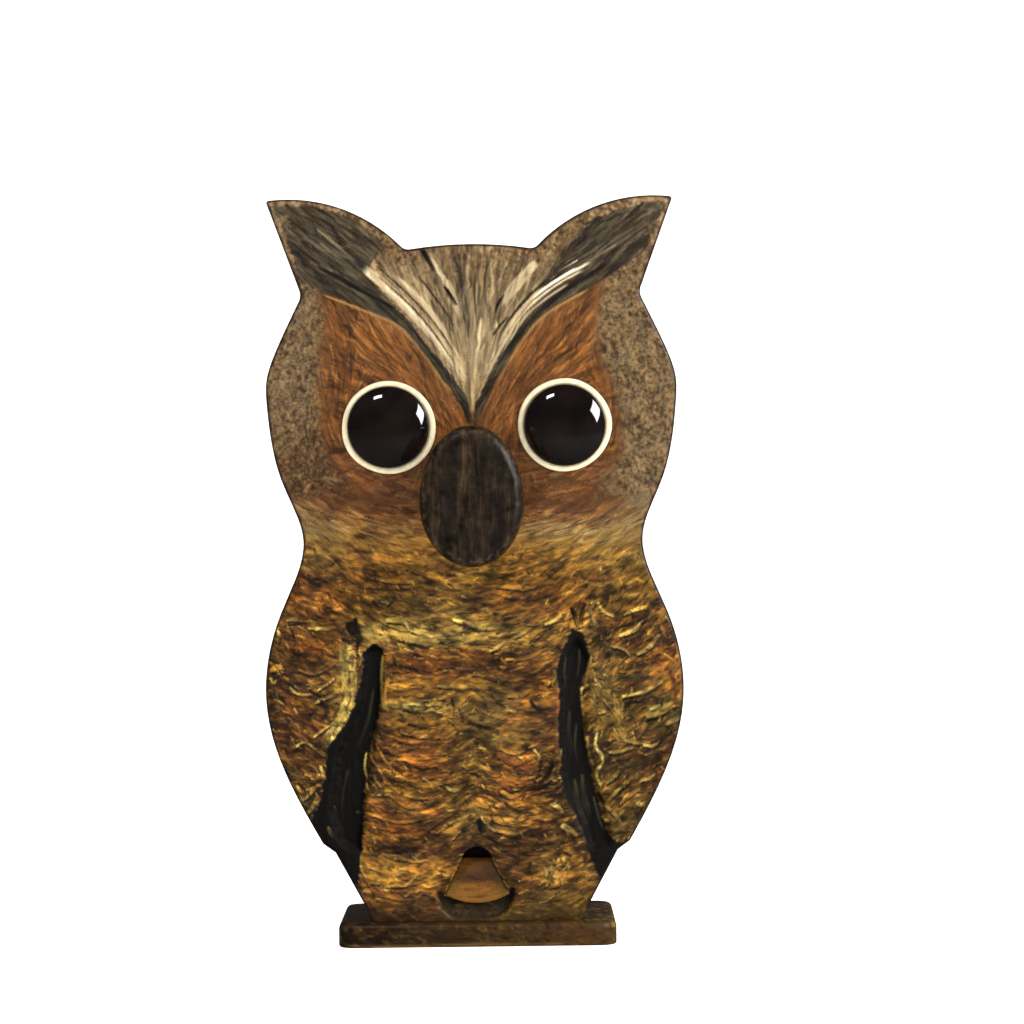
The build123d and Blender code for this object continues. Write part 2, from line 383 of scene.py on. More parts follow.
def polygonArea(points, soft=0.5):
    # a soft-edged mask of a closed outline, rounded a little
    loop = evenLoop(np.array(points, float), 0.6)
    spots = np.c_[gridX.ravel(), gridZ.ravel()]
    near = ((spots > loop.min(0) - 2) & (spots < loop.max(0) + 2)).all(1)
    mask = np.zeros(len(spots), np.float32)
    mask[near] = insideLoop(loop, spots[near])
    return blurred(mask.reshape(gridX.shape), max(1, int(soft / canvas["pitch"])))


def blurred(field, radius):
    # box blur, twice each way
    size = 2 * radius + 1
    for axis in (0, 1, 0, 1):
        pad = [(0, 0)] * field.ndim
        pad[axis] = (radius + 1, radius)
        total = np.cumsum(np.pad(field, pad, mode="edge"), axis=axis, dtype=np.float64)
        ahead = np.take(total, range(size, total.shape[axis]), axis=axis)
        behind = np.take(total, range(0, total.shape[axis] - size), axis=axis)
        field = ((ahead - behind) / size).astype(np.float32)
    return field


# each spot's distance from the board's edge, worked out on every fourth cell
boardLoop = evenLoop(boardOutline, 0.4)
coarser = 4
coarseX, coarseZ = np.meshgrid(canvasX[::coarser], canvasZ[::coarser])
coarseSpots = np.c_[coarseX.ravel(), coarseZ.ravel()]
coarseEdge = distanceTo(boardLoop, coarseSpots).reshape(coarseX.shape)
coarseEdge[~insideLoop(boardLoop, coarseSpots).reshape(coarseX.shape)] *= -1


def onCanvas(field, points, coarser=1):
    # the canvas field's value at each (x, z), between its four nearest cells
    pitch = canvas["pitch"] * coarser
    u = np.clip((points[:, 0] - canvas["left"]) / pitch, 0, field.shape[1] - 1.001)
    v = np.clip((points[:, 1] - canvas["low"]) / pitch, 0, field.shape[0] - 1.001)
    i, j = u.astype(int), v.astype(int)
    fu, fv = u - i, v - j
    if field.ndim == 3:
        fu, fv = fu[:, None], fv[:, None]
    return mix(mix(field[j, i], field[j, i + 1], fu), mix(field[j + 1, i], field[j + 1, i + 1], fu), fv)


everySpot = np.c_[gridX.ravel(), gridZ.ravel()]
edgeDistance = onCanvas(coarseEdge, everySpot, coarser).reshape(gridX.shape).astype(np.float32)
print("canvas", gridX.shape)

# the head: two dark brows that sweep from the ears to the beak, and a pale streaked forehead
head = {
    "leftBrow": [
        (-44, 155), (-33, 155), (-22, 151.5), (-15.8, 146.0), (-17.2, 141.6), (-20.2, 138.6),
        (-20.4, 136.0),
        (-16.3, 131.0), (-12.8, 127.3), (-9.2, 122.5), (-4.5, 116.7), (-0.4, 110.4), (-0.3, 105.0),
        (-2.0, 109.8), (-4.6, 113.8), (-8.0, 118.6), (-11.6, 123.2), (-15.1, 126.6), (-20.4, 129.2),
        (-26.3, 131.8), (-31.1, 133.6), (-36.5, 136.6),
    ],
    "rightBrow": [
        (44, 155), (33, 155), (26.0, 150.5), (21.5, 143.5), (17.2, 137.8), (13.2, 131.6),
        (9.7, 126.0), (6.1, 120.4), (3.2, 114.6), (0.9, 109.8), (0.4, 105.0), (3.0, 110.4),
        (6.1, 116.8), (9.7, 122.3), (13.2, 126.4), (16.8, 129.5), (22.1, 132.4), (28, 135.4), (38, 142.5),
    ],
    "leftFace": [
        (-31.0, 133.8), (-20.4, 129.4), (-11.6, 123.4), (-8.0, 118.8), (-4.6, 114.0), (-1.0, 106.0),
        (-2.0, 98.0), (-10, 91.0), (-22, 91.0), (-29.5, 100), (-31.0, 112), (-30.2, 122), (-29.0, 128),
    ],
    "rightFace": [
        (27.5, 135.3), (22.1, 132.6), (13.2, 126.6), (9.7, 122.5), (6.1, 117.0), (3.0, 110.6), (1.0, 105),
        (2.0, 98.0), (10, 91.0), (24, 91.0), (30.5, 100), (29.4, 112), (26.0, 119), (24.8, 126),
    ],
    "forehead": [(-22.5, 148), (22.5, 148), (20, 139), (12, 129), (0, 108), (-12, 128), (-20, 137)],
    "threads": [
        [(-30, 132.6), (-20.4, 128.8), (-15.1, 126.3), (-11.6, 122.8), (-8.2, 118.2), (-5.0, 113.4),
         (-2.6, 109.0)],
        [(24, 133.0), (16.8, 129.0), (13.2, 126.0), (9.9, 121.8), (6.5, 116.4), (3.9, 111.0)],
    ],
    "streaks": [
        ("greige", 2.0, [(-18, 137.9), (-12.5, 133.0), (-7, 126.9), (-2.4, 119.2)]),
        ("cream", 2.3, [(-21.4, 137.9), (-15.1, 132.2), (-9.2, 126.1), (-4.5, 120.2), (-0.3, 113.2)]),
        ("bone", 0.7, [(-17.5, 134.3), (-11.5, 128.7), (-6.4, 122.3), (-2.2, 116.0)]),
        ("umber", 0.3, [(-18.6, 136.2), (-12.6, 130.6), (-7.2, 124.2), (-2.8, 117.6)]),
        ("cream", 1.1, [(-14.6, 136.0), (-9.5, 130.7), (-5.2, 124.4), (-1.5, 117.0)]),
        ("darkUmber", 0.35, [(-19, 138.4), (-12, 131.9), (-6.2, 125.1), (-1.9, 117.8)]),
        ("umber", 0.3, [(-15.5, 133.6), (-9.8, 127.8), (-4.6, 120.8)]),
        ("cream", 1.3, [(-8.4, 140.2), (-5.2, 135.4), (-3.2, 131.2), (-2.2, 126.6)]),
        ("black", 1.3, [(-9.9, 142.2), (-8.3, 139.4), (-6.8, 136.6)]),
        ("black", 0.9, [(-5.2, 134.0), (-3.9, 132.0), (-2.6, 129.8)]),
        ("darkUmber", 0.4, [(-10.6, 136.4), (-5.9, 130.0), (-2.2, 124.4)]),
        ("charcoal", 0.8, [(-3.2, 140.2), (-1.9, 136.2), (-1.4, 131.0)]),
        ("cream", 0.7, [(24.6, 138.6), (18.2, 135.2), (12.8, 131.6), (8.8, 127.0), (5.8, 122.4),
                        (1.6, 114.4)]),
        ("cream", 0.8, [(23.0, 136.9), (17.4, 133.7), (12.6, 130.0), (9.0, 125.6), (6.2, 121.2),
                        (2.0, 114.0)]),
        ("greige", 0.5, [(20.0, 134.2), (15.4, 131.2), (11.4, 127.8), (8.6, 123.9), (5.6, 119.0)]),
        ("bone", 0.5, [(21.5, 137.4), (16.6, 134.3), (11.6, 130.4)]),
        ("umber", 0.35, [(22.8, 136.6), (17.0, 133.2), (11.8, 128.9), (7.6, 123.4)]),
        ("darkUmber", 0.3, [(20.4, 137.9), (14.4, 134.2), (9.8, 129.6)]),
        ("greige", 1.3, [(11.0, 131.6), (7.6, 126.8), (4.6, 121.6), (1.6, 114.4)]),
        ("cream", 2.2, [(13.6, 138.8), (10.2, 135.0), (7.6, 131.8), (5.9, 129.3)]),
        ("darkUmber", 0.6, [(18.2, 137.0), (12.4, 132.2), (8.3, 127.6), (5.0, 122.5)]),
        ("black", 0.6, [(6.9, 132.2), (5.5, 129.8), (5.1, 128.2)]),
        ("black", 0.45, [(7.6, 127.6), (5.6, 125.4), (4.4, 123.6)]),
        ("greige", 1.6, [(0.6, 131.0), (0.5, 124.0), (0.2, 115.5)]),
        ("cream", 0.8, [(2.2, 127.5), (1.4, 121.0), (0.5, 113.5)]),
        ("greige", 0.5, [(-0.8, 124.0), (-0.1, 117.0), (0.1, 112.0)]),
        ("umber", 0.4, [(1.1, 137.0), (1.0, 131.5), (1.4, 126.0)]),
        ("charcoal", 0.5, [(3.6, 138.6), (3.0, 134.0), (3.2, 129.6)]),
    ],
    "browLines": [
        ("black", 1.1, [
            (-31.0, 138.4), (-24.5, 134.8), (-18.0, 131.0), (-12.2, 126.2), (-6.4, 118.4), (-1.2, 110.4),
        ]),
        ("black", 0.8, [(28.0, 138.2), (20.0, 133.4), (14.4, 129.0), (9.6, 123.4), (5.0, 116.8),
                        (1.4, 110.6)]),
        ("slate", 0.6, [(-34.0, 144.6), (-28.0, 140.2), (-22.0, 135.6)]),
        ("taupe", 0.5, [(-31.0, 146.0), (-26.5, 142.2), (-23.0, 138.8)]),
        ("slate", 0.7, [(33.0, 144.0), (26.0, 139.6), (19.0, 134.6)]),
        ("taupe", 0.4, [(30.0, 142.2), (24.5, 139.0), (20.0, 135.8)]),
        ("bone", 0.35, [(22.0, 139.0), (18.6, 137.0), (15.4, 134.6)]),
    ],
}

underpaint(smooth(74, 80, gridZ), [
    (-36, 118, 6, 20, "taupe"), (36, 118, 7, 22, "taupe"), (-33, 96, 8, 8, "umber"),
    (34, 96, 8, 8, "taupe"),
    (-18, 90, 12, 5, "rust"), (18, 90, 12, 5, "umber"), (0, 100, 8, 8, "sienna"), (0, 138, 20, 6, "taupe"),
    (-14, 84, 12, 3.5, "gold"), (14, 84, 12, 3.5, "ochre"), (30, 84, 6, 4, "taupe"),
    (-30, 84, 6, 4, "olive"),
    (0, 124, 14, 7, "greige"),
])
sides = smooth(88, 94, gridZ)
brushOver(sides, 1500, lambda x, z: math.pi / 2 + 0.02 * x, 4.0, 0.8,
          tinted(["taupe", "tan", "umber", "olive"], 0.4, 0.10), 0.05, 0.6)
speckle(sides, "tan", "darkUmber", 0.36, 0.5)
speckle(sides, "greige", "umber", 0.26, 0.4)


eyeCentres = [sum(boxOf(node))[[0, 2]] / 2 for node in ("left_eye", "right_eye")]


def faceHair(x, z):
    # hairs on the face run down towards the beak and curve round the eyes
    side = -1 if x < 0 else 1
    eyeX, eyeZ = eyeCentres[0 if x < 0 else 1]
    down = math.atan2(-1.0, -side * 0.42)
    away = math.atan2(z - eyeZ, x - eyeX)
    near = math.exp(-((math.hypot(x - eyeX, z - eyeZ) / 14.0) ** 2))
    around = away + math.pi / 2
    if math.cos(around - down) < 0:
        around += math.pi
    turn = (around - down + math.pi) % (2 * math.pi) - math.pi
    return down + turn * near


for sideName, centre, warm in (("leftFace", -17, 1.06), ("rightFace", 17, 0.85)):
    area = polygonArea(head[sideName], 1.3)
    underpaint(area, [
        (centre, 127, 12, 5, paints["sienna"] * 1.08 * warm), (centre, 114, 15, 9, paints["sienna"] * warm),
        (centre * 1.65, 110, 4, 14, paints["umber"] * 1.3), (centre, 96, 12, 4, "rust"),
        (centre * 0.3, 110, 4, 8, paints["orange"] * 0.92), (centre * 0.45, 97, 4, 5, "umber"),
    ])
    brushOver(area, 420, faceHair, 7.0, 0.9, tinted(["umber", "rust", "sienna"], 0.35, 0.08), 0.04, 0.4)
    brushOver(area, 900, faceHair, 7.0, 0.36, tinted(["orange", "umber", "rust", "sienna"], 0.38, 0.08),
              0.05, 0.6)
    brushOver(area, 330, faceHair, 5.0, 0.26, tinted(["darkUmber", "umber"], 0.5), 0.02, 0.7)
    brushOver(area, 300, faceHair, 5.0, 0.26, tinted(["gold", "orange"], 0.45), 0.06, 0.8)

forehead = polygonArea(head["forehead"], 0.5)
underpaint(forehead, [
    (0, 141, 16, 4, "taupe"), (-12, 136, 6, 6, "greige"), (2, 133, 5, 7, "taupe"), (12, 135, 6, 5, "taupe"),
    (0, 122, 6, 6, "greige"), (0, 114, 4, 5, paints["cream"] * np.array([0.86, 0.82, 0.72])),
    (3, 139, 6, 3, paints["tan"] * 0.84), (-17, 143, 4, 4, paints["tan"] * 0.9),
])


def towardsBeak(x, z):
    return math.atan2(104.0 - z, -x)


brushOver(forehead, 420, towardsBeak, 9.0, 0.9, tinted(["greige", "taupe", "charcoal", "tan"], 0.36, 0.09),
          0.06, 0.5)
brushOver(forehead, 300, towardsBeak, 8.0, 0.35, tinted(["cream", "greige"], 0.45), 0.06, 0.8)
brushOver(forehead, 220, towardsBeak, 6.0, 0.3, tinted(["umber", "charcoal"], 0.5), 0.02, 0.7)
speckle(forehead * smooth(132, 138, gridZ), "tan", "umber", 0.5, 0.4)

fromBeak = np.hypot(gridX, gridZ - 100)
bearing = np.arctan2(gridX, gridZ - 100)
faceArea = np.maximum(polygonArea(head["leftFace"], 0.8), polygonArea(head["rightFace"], 0.8))
bristled(faceArea, fromBeak, bearing * 19, 0.7, "orange", "darkUmber", 0.2, 2.6)
bristled(forehead, fromBeak, bearing * 26, 0.5, "cream", "umber", 0.3, 3.0)
bristled(sides * (1 - faceArea) * (1 - forehead), gridZ, gridX + 0.02 * gridZ, 0.5,
         "tan", "darkUmber", 0.35, 0.8)
browArea = np.zeros_like(relief)


def alongBrow(x, z):
    side = -1 if x < 0 else 1
    return math.atan2(-0.62, -side * 0.78) if abs(x) > 14 else math.atan2(-0.82, -side * 0.57)


for name, side in (("leftBrow", -1), ("rightBrow", 1)):
    area = polygonArea(head[name], 0.35)
    area = smooth(0.25, 0.75, area + coarseNoise((150, 90), gridX.shape, -0.28, 0.28))
    area *= 1 - 0.55 * np.exp(-(((gridX + 17.5) / 2.6) ** 2) - ((gridZ - 142.0) / 3.0) ** 2)
    browArea = np.maximum(browArea, area)
    underpaint(area, [
        (side * 36, 147, 8, 6, paints["slate"] * 0.92), (side * 28, 141, 8, 6, paints["charcoal"] * 1.05),
        (side * 22, 134, 8, 5, "charcoal"), (side * 10, 123, 5, 8, paints["charcoal"] * 0.8),
        (0, 110, 4, 5, "black"),
    ])
    brushOver(area, 380, alongBrow, 8.0, 1.0, tinted(["charcoal", "slate", "black", "moss"], 0.4, 0.08),
              0.06, 0.5)
    brushOver(area, 260, alongBrow, 4.5, 0.32, tinted(["taupe", "slate", "tan"], 0.4), 0.05, 0.9)
    brushOver(area, 260, alongBrow, 6.0, 0.35, tinted(["black", "darkUmber"], 0.6), 0.02, 0.6)
lean = np.where(gridX < 0, -0.67, 0.67)
bristled(browArea, *turnedGrid(lean), 0.55, "taupe", "black", 0.28, 2.2)
# worn, speckled rims on top of the ears, wider beside the crown
fromCrown = smooth(-22.5, -17.0, gridX) * smooth(5, -12, gridX)
rim = 1.2 + 1.7 * fromCrown + 1.3 * smooth(10, 15, gridX) * smooth(40, 30, gridX)
rim = smooth(1.1, 0.75, edgeDistance / rim + coarseNoise((260, 150), gridX.shape, -0.35, 0.35))
rim *= smooth(8, 12, np.abs(gridX)) * smooth(136, 140, gridZ)
colours[:] = mix(colours, paints["tan"] * np.array([0.80, 0.79, 0.74]), (rim * 0.72)[..., None])
speckle(rim, "tan", "darkUmber", 0.5, 0.6)
speckle(rim, "greige", "umber", 0.35, 0.5)
tips = smooth(34, 38.5, np.abs(gridX)) * smooth(138, 146, gridZ)
speckle(tips, "tan", "charcoal", 0.6, 0.45)
ribbons(head["browLines"], 0.05, 0.8, browArea)
ribbons(head["streaks"], 0.1, 0.5)
bristled(forehead, fromBeak, bearing * 26, 0.45, "cream", "darkUmber", 0.22, 3.4)
# a pale thread where each brow meets the face
for points in head["threads"]:
    ribbon(points, 0.6, paints["gold"] * 0.92, 0.09, 0.8)
print("head painted")

# the body: short curved strokes in rows, a pale band on the chest, and two black grooves
body = {
    "leftGroove": [
        (-18.2, 61.4), (-19.2, 49.5), (-21.4, 37.5), (-23.6, 19.5), (-27, 20.5), (-29.4, 27.5),
        (-27.8, 39.5),
        (-22.9, 50), (-21.8, 60.5),
    ],
    "rightGroove": [
        (20.6, 63.0), (17.4, 52.5), (17.5, 34.5), (23.5, 19.5), (27.4, 20.5), (25.6, 28.5), (22.3, 42.5),
        (23.2, 57.5),
    ],
    "leftBlack": [
        (-20.4, 62.0), (-18.5, 60.6), (-18.6, 56), (-19.3, 49), (-21.8, 40), (-22.9, 32), (-23.3, 20),
        (-24.0, 12), (-29, 16.0), (-34.4, 23.6), (-32.0, 28.6), (-30.6, 33.5), (-30.2, 38), (-29.2, 41.5),
        (-26.5, 45.0), (-24.2, 49.5), (-23.0, 55), (-22.2, 60),
    ],
    "rightBlack": [
        (20.0, 64.4), (22.3, 62.8), (23.4, 58.5), (22.4, 55), (21.4, 51.5), (21.8, 46), (22.4, 40),
        (23.5, 34),
        (24.8, 28), (26.5, 22.5), (32, 17.5), (25, 13), (23.2, 18), (20.8, 25), (17.8, 31), (17.0, 38),
        (17.0, 45), (17.2, 50), (16.8, 53), (17.0, 57), (18.6, 61.4),
    ],
    "leftWing": [
        (-50, 80), (-27, 72), (-25.5, 66), (-24, 60), (-24, 52), (-28.5, 44), (-30, 36), (-34, 27),
        (-50, 20),
    ],
    "rightWing": [
        (50, 80), (24, 73), (23.2, 66), (23.0, 58), (21.6, 50), (23.5, 36), (26, 26), (30, 19), (50, 20),
    ],
    "leftFoot": [(-22.0, 11.0), (-8.5, 10.0), (-7.5, 17.0), (-12.0, 19.5), (-21.0, 19.0)],
    "rightFoot": [(12.6, 13.0), (14.6, 11.4), (17.8, 12.4), (19.4, 15.4), (18.0, 18.4), (14.2, 18.2)],
    "legs": (-11, 10),  # the middle of each leg
    "legSag": 0.045,
    "chestSag": 0.024,
    "strokeSag": 0.035,
}
groove = {"depth": 1.45, "edge": 0.8}

leftWing = polygonArea(body["leftWing"], 0.4)
rightWing = polygonArea(body["rightWing"], 0.4)
bodyArea = smooth(83, 79, gridZ + coarseNoise((60, 40), gridX.shape, -2.5, 2.5))
underpaint(bodyArea, [
    (-20, 78, 10, 4, "sienna"), (18, 77, 12, 4, "ochre"), (0, 76, 10, 4, "olive"), (-30, 76, 5, 5, "umber"),
    (31, 76, 6, 5, "olive"), (-12, 70, 9, 4, paints["olive"] * 0.95), (11, 71, 9, 4, "sienna"),
    (-2, 63.5, 15, 3.2, paints["greige"] * 0.98), (13, 64, 5, 3, "ochre"),
    (-4, 58, 12, 2.6, paints["rust"] * 0.9), (10, 56.5, 6, 3, "umber"), (-10, 52.5, 7, 2, "ochre"),
    (4, 52.5, 6, 2, "olive"),
    (-10, 48.6, 5, 1.2, "greige"), (-10, 45.5, 5.5, 2, paints["ochre"] * 1.05),
    (6, 46, 5, 4.5, paints["taupe"] * 0.9),
    (13, 49, 4, 4, "sienna"), (-12, 37.5, 5.5, 3.5, paints["orange"] * 0.78), (-19, 36, 3, 5, "umber"),
    (0, 38, 4, 5, paints["olive"] * 0.9), (8.5, 37, 4.5, 2.6, paints["orange"] * 0.92),
    (7.5, 31.5, 4, 2.8, paints["orange"] * 0.98), (14.0, 35, 2.5, 4, "darkUmber"), (-13, 31, 6, 2, "olive"),
    (-15, 26, 6, 3.5, paints["sienna"] * 0.95), (-10, 20.0, 6, 2, "umber"),
    (-14, 15.5, 7, 2.5, paints["ochre"] * 0.96), (-13, 9, 8, 3, "sienna"), (0, 25, 4, 2, "taupe"),
    (8, 27.0, 5, 1.8, paints["ochre"] * 0.9), (13, 22, 6, 3.5, paints["umber"] * 0.9),
    (9.5, 15, 3, 4, paints["umber"] * 0.95), (15.4, 15, 4, 4, paints["ochre"] * 0.9),
    (13, 8, 8, 3, "olive"),
])
underpaint(leftWing, [
    (-32, 70, 7, 4, "sienna"), (-31, 62, 7, 4, "sienna"), (-36, 59, 5, 5, "umber"),
    (-30, 54, 6, 3, "ochre"),
    (-34, 47, 6, 5, paints["rust"] * 0.8), (-39, 50, 3, 7, "darkUmber"), (-35, 38, 5, 4, "umber"),
    (-36, 30, 4, 4, paints["olive"] * 0.8), (-33, 24, 4, 3, "charcoal"), (-26.5, 50, 2.5, 8, "greige"),
])
underpaint(rightWing, [
    (30, 70, 7, 3, "olive"), (33, 63, 7, 5, "umber"), (37, 57, 5, 4, "sienna"), (33, 54, 6, 3, "olive"),
    (26, 55, 3, 7, paints["taupe"] * 0.85), (36, 47, 6, 3, "moss"), (28, 44, 4, 6, "olive"),
    (34, 38, 5, 4, paints["umber"] * 0.95), (30, 30, 4, 5, "olive"), (31, 23, 4, 3, "moss"),
])


def rowAngle(x, z):
    # strokes sag across each leg, and lean out from the middle on the chest
    if abs(x) > 23:
        return (0.55 if x > 0 else -0.45) + rng.normal(0, 0.3)
    if z > 55:
        return 0.03 * x + rng.normal(0, 0.18)
    return body["legSag"] * (x - body["legs"][0 if x < 0 else 1]) + rng.normal(0, 0.2)


sag = body["strokeSag"]
for count, length, width, names, strength, jitter, thick, dry in (
    (1500, 6.0, 1.5, ["umber", "sienna", "olive", "ochre"], 0.3, 0.16, 0.14, 0.5),
    (1500, 4.5, 0.7, ["gold", "darkUmber", "tan", "umber"], 0.42, 0.14, 0.16, 0.7),
    (1500, 3.6, 0.36, ["darkUmber", "black", "umber"], 0.6, 0.12, 0.02, 0.6),
    (1300, 3.2, 0.34, ["gold", "cream", "tan"], 0.5, 0.12, 0.2, 0.8),
):
    brushOver(bodyArea, count, rowAngle, length, width, tinted(names, strength, jitter), thick, dry, sag)
print("body underpainted")

# the neck: a golden band under the cheeks, its lower edge broken by the chest strokes
neck = smooth(92, 88, gridZ + coarseNoise((50, 30), gridX.shape, -1.5, 1.5)) * smooth(75, 79, gridZ)
underpaint(neck * 0.85, [
    (-22, 89, 9, 3, "rust"), (20, 89, 9, 3, paints["rust"] * 0.9), (-20, 83, 10, 3, paints["gold"] * 0.84),
    (22, 83, 9, 3, paints["greige"] * 0.9), (-8, 80, 8, 3, "ochre"), (10, 80, 8, 3, "ochre"),
    (-32, 84, 5, 5, "taupe"), (33, 84, 5, 5, "taupe"), (0, 92, 8, 4, "umber"),
])


def fanned(amount):
    # strokes that tilt more the further they are from the middle
    return lambda x, z: amount * x


brushOver(neck, 420, fanned(0.012), 6.0, 1.1, tinted(["sienna", "ochre", "umber"], 0.25, 0.1), 0.1, 0.6)
brushOver(neck, 420, fanned(0.012), 5.0, 0.34, tinted(["gold", "tan", "greige"], 0.45), 0.14, 0.8)
brushOver(neck, 300, fanned(0.012), 5.0, 0.3, tinted(["umber", "darkUmber"], 0.5), 0.02, 0.8)
cheeks = smooth(88, 92, gridZ) * smooth(101, 96, gridZ) * smooth(33, 29, np.abs(gridX))
brushOver(cheeks, 420, fanned(0.015), 4.5, 0.5, tinted(["rust", "umber", "taupe"], 0.45), 0.05, 0.7)

fromLeg = gridX - np.where(gridX < 0, *body["legs"])
sagging = 0.5 * body["legSag"] * fromLeg**2 * smooth(60, 52, gridZ)
sagging += 0.5 * body["chestSag"] * gridX**2 * smooth(52, 60, gridZ)
wings = np.clip(leftWing + rightWing, 0, 1)
bristled(np.maximum(bodyArea, neck) * (1 - wings), gridX, gridZ - sagging, 0.75,
         "gold", "darkUmber", 0.26, 1.5)
tilt = np.where(gridX < 0, -0.4, 0.55)
bristled(bodyArea * wings, *turnedGrid(tilt), 0.8, "tan", "darkUmber", 0.26, 1.3)

